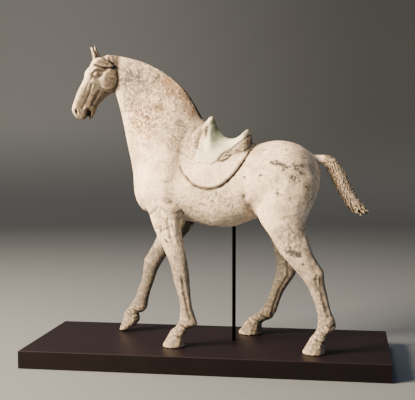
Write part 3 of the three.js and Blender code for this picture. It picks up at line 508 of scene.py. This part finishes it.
def carve(points, normals):
    """Cut the tool strokes into the clay, and raise the ridges beside them."""
    seen = side_view(points)
    sway = sway_of(points)
    force = 1.0 + 0.45 * clay_noise(points, 0.014, 6)
    depth = np.zeros(len(points))
    for strokes, leg, shake in STROKE_GROUPS:
        shaken = seen + shake * sway
        for side, path, width, cut, _ in strokes:
            press = np.exp(-(sweep(shaken, path) / width) ** 2) * facing(points, normals, side, leg)
            depth += cut * press * (1 + (force - 1) * min(1, shake / 0.16))
    for side, along, above, across, up, cut in DABS:
        away = ((seen[:, 0] - along) / across) ** 2 + ((seen[:, 1] - above) / up) ** 2
        depth += cut * np.exp(-away) * facing(points, normals, side, "")
    return points - normals * (depth / 1000)[:, None]


def stroke_soil_and_shade(points, normals):
    """The soil left in the tool strokes, and painted shade in some of them, in the open mouth and along the
    back edge of the neck's crest.
    """
    seen = side_view(points)
    sway = sway_of(points)
    force = 0.85 + 0.6 * clay_noise(points, 0.011, 7)
    soil = np.zeros(len(points))
    for strokes, leg, shake in STROKE_GROUPS:
        shaken = seen + shake * sway
        steady = 1 + (force - 1) * min(1, shake / 0.16)
        for side, path, width, _, dark in strokes:
            if dark:
                line = np.exp(-(sweep(shaken, path) / (width * 1.05)) ** 2)
                soil = np.maximum(soil, dark * line * steady * facing(points, normals, side, leg))
    # The inside of the open mouth: painted shade.
    mouth = within(seen, MOUTH_OUTLINE, 0.3) * ramp(-np.abs(points[:, 1]), -0.0115, -0.0095)
    # A line of painted shade along the back edge of the neck's crest.
    narrow = 0.48 - 0.22 * ramp(seen[:, 1], 76, 88)
    beside = ramp(-sweep(seen, back_edge(seen)) / narrow, -1.25, -0.75)
    crest = beside * ramp(-np.abs(points[:, 1]), -0.013, -0.009)
    return np.maximum(np.maximum(soil, mouth), 0.95 * crest)


def back_edge(seen):
    """The neck's rearmost line, seen from the side."""
    edge = []
    for height in np.arange(CREST_FOOT, CREST_HEAD, 1.2):
        level = np.abs(seen[:, 1] - height) < 0.3
        edge.append((float(seen[level & (seen[:, 0] < -1.0), 0].max()), float(height)))
    return edge


def spots(points, normals, stains):
    """How strong the strongest of these stains and patches of painted shade is at each point."""
    seen = side_view(points)
    soil = np.zeros(len(points))
    for side, along, above, across, up, strength in stains:
        away = ((seen[:, 0] - along) / across) ** 2 + ((seen[:, 1] - above) / up) ** 2
        soil = np.maximum(soil, strength * np.exp(-away) * facing(points, normals, side, ""))
    return soil


def unevenness(points, normals):
    """The slow waves and small dents that a hand-built surface keeps."""
    seen = side_view(points)
    calm = 1 - 0.6 * within(seen, HEAD_OUTLINE, 1.5)
    wave = clay_noise(points, 0.034, 1)
    dent = clay_noise(points, 0.012, 2)
    pit = clay_noise(points, 0.005, 3)
    rough = 0.5 + 0.9 * ramp(-seen[:, 1], -44, -30) + 0.5 * within(seen, HEAD_OUTLINE, 1.5)
    rough = rough + 1.8 * ramp(-seen[:, 1], -12, -8)
    lift = 0.40 * wave * calm + 0.20 * dent + 0.16 * pit * rough - 0.1
    return points + normals * (lift / 1000)[:, None]


def note(mesh, name, values):
    """Keep a value for each point of a mesh, for its finish to read."""
    layer = mesh.attributes.new(name, "FLOAT", "POINT")
    layer.data.foreach_set("value", np.asarray(values, np.float32))


def make_clay_horse():
    body = new_piece("clay_start", merged_copy("horse", "clay_start"))
    grid = body.modifiers.new("clay grid", "REMESH")
    grid.mode = "VOXEL"
    grid.voxel_size = CLAY_GRID
    mesh = baked_copy(body, "clay_fine")
    bpy.data.objects.remove(body)
    edges = read_edges(mesh)
    points = read_points(mesh)
    spread, limit = weights_of(points)
    rounds = 90
    share = np.clip((spread / 1000) ** 2 / (rounds * CLAY_GRID ** 2 / 2), 0, 0.75)
    write_points(mesh, rub(points, edges, rounds, share, limit))
    points = carve(read_points(mesh), read_normals(mesh))
    write_points(mesh, points)
    points = unevenness(points, read_normals(mesh))
    write_points(mesh, rub(points, edges, 2, np.full(len(points), 0.5), np.full(len(points), 0.0004)))
    fine = new_piece("clay_fine", mesh)
    thin = fine.modifiers.new("fewer faces", "DECIMATE")
    thin.ratio = min(1.0, CLAY_FACES / (2 * len(mesh.polygons)))
    final = baked_copy(fine, "clay_horse")
    bpy.data.objects.remove(fine)
    write_points(final, rub(read_points(final), read_edges(final), 1,
                            np.full(len(final.vertices), 0.4), np.full(len(final.vertices), 0.0003)))
    final.shade_smooth()
    piece = new_piece("clay_horse", final)
    soil_and_shade_marks(final)
    return piece


def soil_and_shade_marks(mesh):
    """Work out where soil, pigment and wear lie on the finished clay, and where shade is painted on it."""
    points = read_points(mesh)
    normals = read_normals(mesh)
    edges = read_edges(mesh)
    count = np.maximum(np.bincount(edges.ravel(), minlength=len(points)), 1)
    seen = side_view(points)
    calm = points
    for _ in range(4):
        calm = neighbour_mean(calm, edges, count)
    dip = ((calm - points) * normals).sum(axis=1) * 1000
    smooth = np.maximum(within(seen, FLAP_OUTLINE, 0.8), 0.7 * within(seen, FELT_OUTLINE, 0.8))
    # The head's dark colour fades on faces turned forward and up. The off legs are darkened more: painted
    # shade on the side turned from the light.
    forward = -0.85 * normals[:, 0] + 0.35 * normals[:, 2]
    head = within(seen, HEAD_OUTLINE, 1.2) * (1 - 0.85 * ramp(forward, 0.10, 0.55))
    leg = ramp(-seen[:, 1], -LEG_TOP, -24) * (1 + 0.5 * ramp(points[:, 1], 0.0, 0.01))
    # Hollow places darken by how far they dip: painted shade, kept lighter on the flaps and the felt. The
    # tool strokes add their soil and painted shade.
    soil = np.maximum(stroke_soil_and_shade(points, normals), (dip * 2.2 - 0.15) * (1 - 0.8 * smooth))
    note(mesh, "hollows", np.clip(soil, 0, 1))
    note(mesh, "edges", np.clip(-dip * 2.2 - 0.25, 0, 1))
    note(mesh, "dark_stains", spots(points, normals, DARK_STAINS))
    note(mesh, "brown_stains", spots(points, normals, BROWN_STAINS))
    note(mesh, "rose_stains", spots(points, normals, ROSE_STAINS))
    note(mesh, "saddle", within(seen, FLAP_OUTLINE, 0.8))
    note(mesh, "felt", within(seen, FELT_OUTLINE, 0.5) * (1 - within(seen, FLAP_OUTLINE, 0.5)))
    note(mesh, "cloth", within(seen, CLOTH_OUTLINE, 0.6))
    note(mesh, "head", head)
    note(mesh, "legs", leg)
    belly = ramp(-seen[:, 1], -52, -44) * within(seen, [(-9, 30), (-9, 56), (16, 56), (16, 30)], 3.0)
    note(mesh, "belly", belly * (1 - leg * 0.5))
    note(mesh, "grey_stains", spots(points, normals, GREY_STAINS))
    note(mesh, "tan_stains", spots(points, normals, TAN_STAINS))
    note(mesh, "flaked", spots(points, normals, FLAKED))
    note(mesh, "olive_stains", spots(points, normals, SADDLE_PAINTED_SHADE))
    # Faces turned down, where shade is painted under the body.
    note(mesh, "under", np.clip(-normals[:, 2], 0, 1))


class Wire:
    """A socket of a finish. Sums written with it add Math nodes."""

    def __init__(self, tree, socket=None):
        self.tree = tree
        self.socket = socket

    def node(self, kind, settings=None, sockets=None, output=0):
        made = self.tree.nodes.new(kind)
        for name, value in (settings or {}).items():
            if name == "stops":
                bar = made.color_ramp.elements
                while len(bar) < len(value):
                    bar.new(0.5)
                for stop, (place, shade) in zip(bar, value):
                    stop.position = place
                    stop.color = (shade, shade, shade, 1) if isinstance(shade, (int, float)) else (*shade, 1)
            else:
                setattr(made, name, value)
        for name, value in (sockets or {}).items():
            if isinstance(value, Wire):
                self.tree.links.new(value.socket, made.inputs[name])
            else:
                made.inputs[name].default_value = value
        return Wire(self.tree, made.outputs[output])

    def math(self, operation, first, second):
        return self.node("ShaderNodeMath", {"operation": operation}, {0: first, 1: second})

    def __add__(self, other):
        return self.math("ADD", self, other)

    def __radd__(self, other):
        return self.math("ADD", other, self)

    def __sub__(self, other):
        return self.math("SUBTRACT", self, other)

    def __rsub__(self, other):
        return self.math("SUBTRACT", other, self)

    def __mul__(self, other):
        return self.math("MULTIPLY", self, other)

    def __rmul__(self, other):
        return self.math("MULTIPLY", other, self)

    def capped(self):
        return self.node("ShaderNodeClamp", {}, {"Value": self})

    def spread_out(self):
        """From 0 to 1 as before, but rising sooner."""
        rest = 1 - self.capped()
        return 1 - rest * rest

    def shown(self, name):
        """A value kept at each point of the piece."""
        return self.node("ShaderNodeAttribute", {"attribute_name": name}, {}, "Fac")

    def cloud(self, place, size, detail=4.0, roughness=0.55, twist=0.0):
        """Cloudy noise from 0 to 1; size is how wide its patches are, in metres."""
        return self.node("ShaderNodeTexNoise", {}, {
            "Vector": place, "Scale": 1 / size, "Detail": detail, "Roughness": roughness,
            "Distortion": twist})

    def step(self, low, high):
        """0 below low, 1 above high, smooth between."""
        return self.node("ShaderNodeMapRange", {"interpolation_type": "SMOOTHSTEP"}, {
            "Value": self, "From Min": low, "From Max": high})

    def blend(self, under, over):
        """The under colour where this is 0, the over colour where it is 1."""
        under = (*under, 1) if isinstance(under, tuple) else under
        over = (*over, 1) if isinstance(over, tuple) else over
        return self.node("ShaderNodeMix", {"data_type": "RGBA"}, {0: self, 6: under, 7: over}, 2)


def start_finish(name):
    finish = bpy.data.materials.new(name)
    finish.use_nodes = True
    tree = finish.node_tree
    tree.nodes.clear()
    wire = Wire(tree)
    place = wire.node("ShaderNodeTexCoord", {}, {}, "Object")
    return finish, wire, place


def end_finish(wire, shader):
    out = wire.tree.nodes.new("ShaderNodeOutputMaterial")
    wire.tree.links.new(shader.socket, out.inputs["Surface"])


def earthenware_finish():
    """Pale slip over grey clay, with pigment remains, soil in the tool strokes and scattered specks; with
    painted shade in hollow places, on faces turned down, on the saddle and on the off legs.
    """
    finish, wire, place = start_finish("earthenware")
    hollows = wire.shown("hollows")
    edges = wire.shown("edges")
    head = wire.shown("head")
    legs = wire.shown("legs")
    belly = wire.shown("belly")
    saddle = wire.shown("saddle")
    felt = wire.shown("felt")
    cloth = wire.shown("cloth")
    flaked = wire.shown("flaked")
    grey_stains = wire.shown("grey_stains")
    crust = (head * 0.7 + legs * 0.30 + belly * 0.12 + flaked).capped()
    broad = wire.cloud(place, 0.085, 3.0)
    blotch = wire.cloud(place, 0.030, 5.0, 0.65, 0.6)
    patch = wire.cloud(place, 0.016, 4.0, 0.62, 0.8)
    grain = wire.cloud(place, 0.0085, 3.0, 0.62)
    speck = wire.cloud(place, 0.0056, 2.0, 0.55, 0.5)
    fine = wire.cloud(place, 0.0030, 1.0, 0.5)

    tone = broad.step(0.38, 0.62).blend((0.86, 0.735, 0.605), (0.50, 0.435, 0.365))
    tone = (blotch.step(0.46, 0.54) * 0.60).blend(tone, (1.00, 0.875, 0.735))
    mottled = patch.step(0.52, 0.60) * (0.30 + 0.40 * crust) * (1 - 0.6 * belly)
    tone = mottled.capped().blend(tone, (0.25, 0.220, 0.185))
    patchy = 0.30 + blotch.step(0.40, 0.52) * 0.45 + grain.step(0.42, 0.56) * 0.40
    tone = (wire.shown("rose_stains") * patchy).capped().blend(tone, (0.42, 0.245, 0.140))
    tan = wire.shown("tan_stains") * (0.45 + blotch.step(0.40, 0.54) * 0.50)
    tone = tan.spread_out().blend(tone, (0.165, 0.125, 0.088))
    grey = grey_stains * (0.50 + patch.step(0.38, 0.56) * 0.50)
    tone = grey.spread_out().blend(tone, (0.085, 0.090, 0.092))
    tone = (cloth * (1 - saddle) * 0.50).blend(tone, (0.97, 0.835, 0.700))
    tone = (saddle * (0.62 + blotch * 0.60)).capped().blend(tone, (0.64, 0.720, 0.590))
    # Painted shade, in a dull olive, on the saddle.
    tone = wire.shown("olive_stains").spread_out().blend(tone, (0.078, 0.083, 0.064))
    lean = wire.node("ShaderNodeMapping", {}, {"Vector": place, "Rotation": (0, math.radians(38), 0)})
    strand = wire.node("ShaderNodeMapping", {}, {"Vector": lean, "Scale": (0.28, 1.0, 1.0)})
    streaks = wire.cloud(strand, 0.0050, 2.0, 0.5, 0.4)
    brushed = streaks.step(0.44, 0.56).blend((0.26, 0.240, 0.210), (0.046, 0.045, 0.043))
    tone = (felt * 0.97).capped().blend(tone, brushed)
    # The legs' dark crust, which the off legs take more of as painted shade.
    tone = (legs * (0.78 + patch.step(0.38, 0.58) * 0.12)).capped().blend(tone, (0.124, 0.123, 0.120))
    dull = (patch.step(0.40, 0.58) * 0.75 + grey_stains * 0.7).capped()
    tone = (head * 0.98).blend(tone, dull.blend((0.064, 0.060, 0.056), (0.018, 0.0176, 0.0170)))
    worn = edges * (0.30 + 0.5 * grain) * (1 - 0.75 * head)
    tone = worn.capped().blend(tone, (0.80, 0.660, 0.510))
    brown = wire.shown("brown_stains") * (0.35 + blotch * 1.2)
    tone = brown.spread_out().blend(tone, (0.110, 0.088, 0.066))
    broken = (wire.shown("dark_stains") * 1.9 + grain * 1.5 - 1.02).step(0.0, 0.40)
    tone = (broken * 0.92).blend(tone, (0.042, 0.054, 0.068))
    clean = 1 - saddle * 0.5
    shady = (1 - 0.88 * head) * (1 - 0.50 * legs)
    flecks = speck.step(0.43, 0.38) * (0.25 + 0.65 * flaked) * clean * shady
    tone = flecks.capped().blend(tone, (1.00, 0.880, 0.720))
    specks = speck.step(0.560, 0.610) * (0.13 + 0.80 * crust) * patch.step(0.34, 0.50) * clean
    tone = specks.capped().blend(tone, (0.080, 0.072, 0.064))
    dry = grain.step(0.50, 0.62) * (0.18 + 0.38 * crust) * clean * (1 - 0.85 * head)
    tone = dry.capped().blend(tone, (0.175, 0.155, 0.132))
    pits = fine.step(0.61, 0.67) * (0.35 + 0.5 * crust) * clean
    tone = pits.capped().blend(tone, (0.050, 0.046, 0.042))
    # Soil in the tool strokes, and painted shade in hollow places, in the mouth and along the crest.
    soil = (hollows * (0.80 + 0.5 * grain)).capped()
    tone = (soil * 0.96).blend(tone, (0.024, 0.024, 0.023))
    # Faces turned down are darkened: painted shade.
    tone = (wire.shown("under") * 0.12).blend(tone, (0.20, 0.170, 0.140))

    height = grain * 0.6 + speck * 0.25 + patch * 0.6 + fine * 0.12 - specks * 0.4 - broken * 0.4
    height = height + felt * streaks * 0.9
    normal = wire.node("ShaderNodeBump", {}, {"Strength": 0.85, "Distance": 0.0017, "Height": height})
    shader = wire.node("ShaderNodeBsdfPrincipled", {}, {
        "Base Color": tone, "Roughness": 0.82 + grain * 0.15, "Normal": normal,
        "Specular IOR Level": 0.10})
    end_finish(wire, shader)
    return finish


def hair_finish():
    """The tail's modelled hair: pale worn tips, and brown blotches, over painted shade in the partings."""
    finish, wire, place = start_finish("earthenware_hair")
    grain = wire.cloud(place, 0.0045, 3.0, 0.6)
    blotch = wire.cloud(place, 0.014, 3.0, 0.6)
    tone = wire.shown("shade").step(0.25, 0.75).blend((0.150, 0.134, 0.114), (0.022, 0.021, 0.020))
    tone = (blotch.step(0.50, 0.60) * 0.55).blend(tone, (0.170, 0.112, 0.060))
    tips = wire.shown("tips").step(0.50, 0.95) * (0.35 + grain.step(0.35, 0.60) * 0.5)
    tone = tips.capped().blend(tone, (0.84, 0.72, 0.57))
    tone = (grain.step(0.54, 0.66) * 0.45).blend(tone, (0.075, 0.050, 0.033))
    normal = wire.node("ShaderNodeBump", {}, {"Strength": 0.5, "Distance": 0.0008, "Height": grain})
    shader = wire.node("ShaderNodeBsdfPrincipled", {}, {
        "Base Color": tone, "Roughness": 0.82 + grain * 0.12, "Normal": normal,
        "Specular IOR Level": 0.22})
    end_finish(wire, shader)
    return finish


def plinth_finish():
    """Dark maroon-brown stained wood under a satin lacquer, its top paler with dust and a painted sheen, and
    its front top edge paler.
    """
    finish, wire, place = start_finish("plinth_wood")
    low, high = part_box("plinth")
    stretched = wire.node("ShaderNodeMapping", {}, {"Vector": place, "Scale": (0.12, 1.0, 1.6)})
    grain = wire.cloud(stretched, 0.006, 5.0, 0.62, 0.6)
    pores = wire.cloud(stretched, 0.0011, 2.0, 0.5)
    dust = wire.cloud(place, 0.10, 3.0)
    across = wire.node("ShaderNodeSeparateXYZ", {}, {"Vector": place}, "Y")
    up = wire.node("ShaderNodeSeparateXYZ", {}, {"Vector": place}, "Z")
    near_top = up.step(high.z - 0.0022, high.z - 0.0006)
    near_front = across.step(low.y + 0.0022, low.y + 0.0006)
    arris = near_top * near_front
    tone = grain.step(0.35, 0.68).blend((0.0030, 0.0016, 0.0030), (0.0018, 0.0010, 0.0018))
    # The top is paler with dust and a painted sheen.
    top_dust_and_sheen = up.step(high.z - 0.0012, high.z - 0.0002) * (0.24 + dust * 0.10)
    tone = top_dust_and_sheen.blend(tone, (0.0225, 0.0175, 0.0290))
    tone = (pores.step(0.60, 0.72) * 0.30).blend(tone, (0.0012, 0.0008, 0.0012))
    tone = (arris * 0.5).blend(tone, (0.016, 0.013, 0.018))
    normal = wire.node("ShaderNodeBump", {}, {
        "Strength": 0.12, "Distance": 0.0003, "Height": grain * 0.6 + pores * 0.4})
    shader = wire.node("ShaderNodeBsdfPrincipled", {}, {
        "Base Color": tone, "Roughness": 0.36 + dust * 0.16 + pores * 0.05, "Normal": normal,
        "Specular IOR Level": 0.18})
    end_finish(wire, shader)
    return finish


def rod_finish():
    """Blackened steel, satin, with faint draw marks along it."""
    finish, wire, place = start_finish("rod_steel")
    drawn = wire.node("ShaderNodeMapping", {}, {"Vector": place, "Scale": (1.0, 1.0, 0.05)})
    marks = wire.cloud(drawn, 0.0007, 3.0)
    wear = wire.cloud(place, 0.012, 3.0)
    tone = (marks.step(0.4, 0.7) * 0.5).blend((0.0006, 0.0006, 0.0006), (0.0018, 0.0017, 0.0016))
    tone = (wear.step(0.62, 0.72) * 0.4).blend(tone, (0.004, 0.0036, 0.0033))
    normal = wire.node("ShaderNodeBump", {}, {"Strength": 0.15, "Distance": 0.0002, "Height": marks})
    shader = wire.node("ShaderNodeBsdfPrincipled", {}, {
        "Base Color": tone, "Roughness": 0.48 + wear * 0.2, "Normal": normal, "Specular IOR Level": 0.02})
    end_finish(wire, shader)
    return finish


def floor_finish():
    """A pale floor, darker further out, that turns into a grey wall with painted light: paler to the left,
    darker to the right.
    """
    finish, wire, place = start_finish("pale floor")
    soft = wire.cloud(place, 0.9, 2.0)
    along = wire.node("ShaderNodeSeparateXYZ", {}, {"Vector": place}, "X")
    up = wire.node("ShaderNodeSeparateXYZ", {}, {"Vector": place}, "Z")
    away = wire.node("ShaderNodeVectorMath", {"operation": "LENGTH"}, {0: place}, "Value")
    tone = (soft * 0.06).blend((0.125, 0.158, 0.205), (0.117, 0.148, 0.192))
    tone = away.step(0.8, 3.4).blend(tone, (0.085, 0.110, 0.148))
    # Painted light on the wall: paler towards -X, darker towards +X.
    wall = along.step(0.7, -2.2).blend((0.060, 0.076, 0.099), (0.177, 0.220, 0.282))
    tone = up.step(0.05, 0.7).blend(tone, wall)
    shader = wire.node("ShaderNodeBsdfPrincipled", {}, {"Base Color": tone, "Roughness": 0.9})
    end_finish(wire, shader)
    return finish


def make_lock():
    """One grain of clay hair: a small drop lying along +X, its tip lifted off the tail."""
    shell = bmesh.new()
    tips = shell.verts.layers.float.new("tips")
    shade = shell.verts.layers.float.new("shade")
    bmesh.ops.create_uvsphere(shell, u_segments=8, v_segments=6, radius=1.0,
                              matrix=Matrix.Rotation(math.pi / 2, 4, "Y"))
    for vertex in shell.verts:
        end = vertex.co.x
        vertex.co.y *= 1.0 - 0.30 * end
        vertex.co.z += 0.35 * end * abs(end)
        vertex[tips] = max(0.0, min(1.0, vertex.co.z * 0.9 + 0.25 * end))
        vertex[shade] = max(0.0, min(1.0, 0.5 - 0.5 * vertex.co.z))
    mesh = bpy.data.meshes.new("lock")
    shell.to_mesh(mesh)
    shell.free()
    return mesh


def make_tail_hair():
    """Short overlapping locks pressed on along the tail, as the real one is modelled."""
    lock = make_lock()
    shell = bmesh.new()
    line = [Vector((along * UNIT, 0, GROUND + above * UNIT)) for along, above in TAIL_LINE]
    lengths = [0.0]
    for before, after in zip(line[:-1], line[1:]):
        lengths.append(lengths[-1] + (after - before).length)
    skin = read_points(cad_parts["horse"].data)
    jitter = np.random.default_rng(7).uniform(-1, 1, (997, 2))
    made = 0
    for row in range(LOCK_ROWS):
        travel = lengths[-1] * (0.025 + 0.915 * row / (LOCK_ROWS - 1))
        part = max(i for i in range(len(line) - 1) if lengths[i] <= travel)
        share = (travel - lengths[part]) / (lengths[part + 1] - lengths[part])
        centre = line[part].lerp(line[part + 1], share)
        ahead = (line[min(part + 2, len(line) - 1)] - line[max(part - 1, 0)]).normalized()
        across = Vector((0, 1, 0))
        up = ahead.cross(across).normalized()
        offsets = skin - np.array(centre)
        level = np.abs(offsets @ np.array(ahead)) < RING_WIDTH
        ring = offsets[level & (np.linalg.norm(offsets, axis=1) < RING_REACH)]
        rise = ring @ np.array(up)
        centre = centre + up * float(rise.max() + rise.min()) / 2
        tall = max(float(rise.max() - rise.min()) / 2, 0.003)
        wide = max(float(np.abs(ring @ np.array(across)).max()), 0.003)
        around = max(6, int(math.pi * (tall + wide) / LOCK_SPACING))
        for place in range(around):
            made += 1
            jog, skew = jitter[made % len(jitter)]
            angle = 2 * math.pi * (place + 0.5 * (row % 2) + 0.35 * jog) / around
            out = up * math.sin(angle) * tall + across * math.cos(angle) * wide
            radial = out.normalized()
            sideways = ahead.cross(radial).normalized()
            run = (ahead + sideways * 0.50 * skew + radial * (0.08 + 0.14 * jog)).normalized()
            beside = radial.cross(run).normalized()
            size = Matrix.Diagonal((LOCK_LENGTH * (0.7 + 0.5 * abs(skew)), LOCK_WIDTH * (1.0 + 0.35 * jog),
                                    LOCK_HEIGHT * (1.0 + 0.4 * skew), 1))
            turned = Matrix((run, beside, run.cross(beside))).transposed().to_4x4()
            middle = centre + out * 0.86 + ahead * 0.003 * jog
            grain = lock.copy()
            grain.transform(Matrix.Translation(middle) @ turned @ size)
            shell.from_mesh(grain)
            bpy.data.meshes.remove(grain)
    mesh = bpy.data.meshes.new("tail_hair")
    shell.to_mesh(mesh)
    shell.free()
    mesh.shade_smooth()
    return new_piece("tail_hair", mesh)


def lamp(name, place, aim, size, watts, tint):
    light = bpy.data.lights.new(name, "AREA")
    light.shape = "RECTANGLE"
    light.size, light.size_y = size
    light.energy = watts
    light.color = tint
    holder = bpy.data.objects.new(name, light)
    holder.location = place
    holder.rotation_euler = (Vector(aim) - Vector(place)).to_track_quat("-Z", "Y").to_euler()
    bpy.context.scene.collection.objects.link(holder)


def make_studio():
    """A pale floor that rises into a darker wall all round, and soft lights inside it."""
    bowl = bmesh.new()
    profile = [(3.4, 0.0), (3.9, 0.08), (4.3, 0.3), (4.6, 0.7), (4.75, 1.3), (4.8, 4.5)]
    rim = [bowl.verts.new((out, 0, up)) for out, up in profile]
    bottom = [bowl.verts.new((0, 0, 0))] + rim
    lines = [bowl.edges.new(pair) for pair in zip(bottom[:-1], bottom[1:])]
    bmesh.ops.spin(bowl, geom=bottom + lines, cent=(0, 0, 0), axis=(0, 0, 1), angle=2 * math.pi,
                   steps=64, use_merge=True)
    bmesh.ops.remove_doubles(bowl, verts=bowl.verts, dist=1e-5)
    bmesh.ops.recalc_face_normals(bowl, faces=bowl.faces)
    mesh = bpy.data.meshes.new("studio_floor")
    bowl.to_mesh(mesh)
    bowl.free()
    mesh.transform(Matrix.Translation((0, 0, -0.0005)))
    mesh.shade_smooth()
    floor = new_piece("studio_floor", mesh)
    mesh.materials.append(floor_finish())
    for settings in LAMPS:
        lamp(*settings)
    world = bpy.data.worlds.new("studio")
    world.use_nodes = True
    sky = world.node_tree.nodes["Background"]
    sky.inputs["Color"].default_value = SKY_TINT
    sky.inputs["Strength"].default_value = SKY_STRENGTH
    bpy.context.scene.world = world


def make_camera():
    lens = bpy.data.cameras.new("camera")
    lens.lens = CAMERA_LENS
    lens.sensor_width = CAMERA_SENSOR
    holder = bpy.data.objects.new("camera", lens)
    holder.location = CAMERA_PLACE
    holder.rotation_euler = (math.radians(90 - CAMERA_DROP), 0, math.radians(CAMERA_TURN))
    bpy.context.scene.collection.objects.link(holder)
    bpy.context.scene.camera = holder


make_camera()
make_studio()

horse = make_clay_horse()
horse.data.materials.clear()
horse.data.materials.append(earthenware_finish())
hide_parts("horse")
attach(horse, "root")

tail_hair = make_tail_hair()
tail_hair.data.materials.append(hair_finish())
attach(tail_hair, "root")

for node, finish in (("plinth", plinth_finish()), ("support_rod", rod_finish())):
    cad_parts[node].data.materials.clear()
    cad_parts[node].data.materials.append(finish)

bpy.context.view_layer.update()
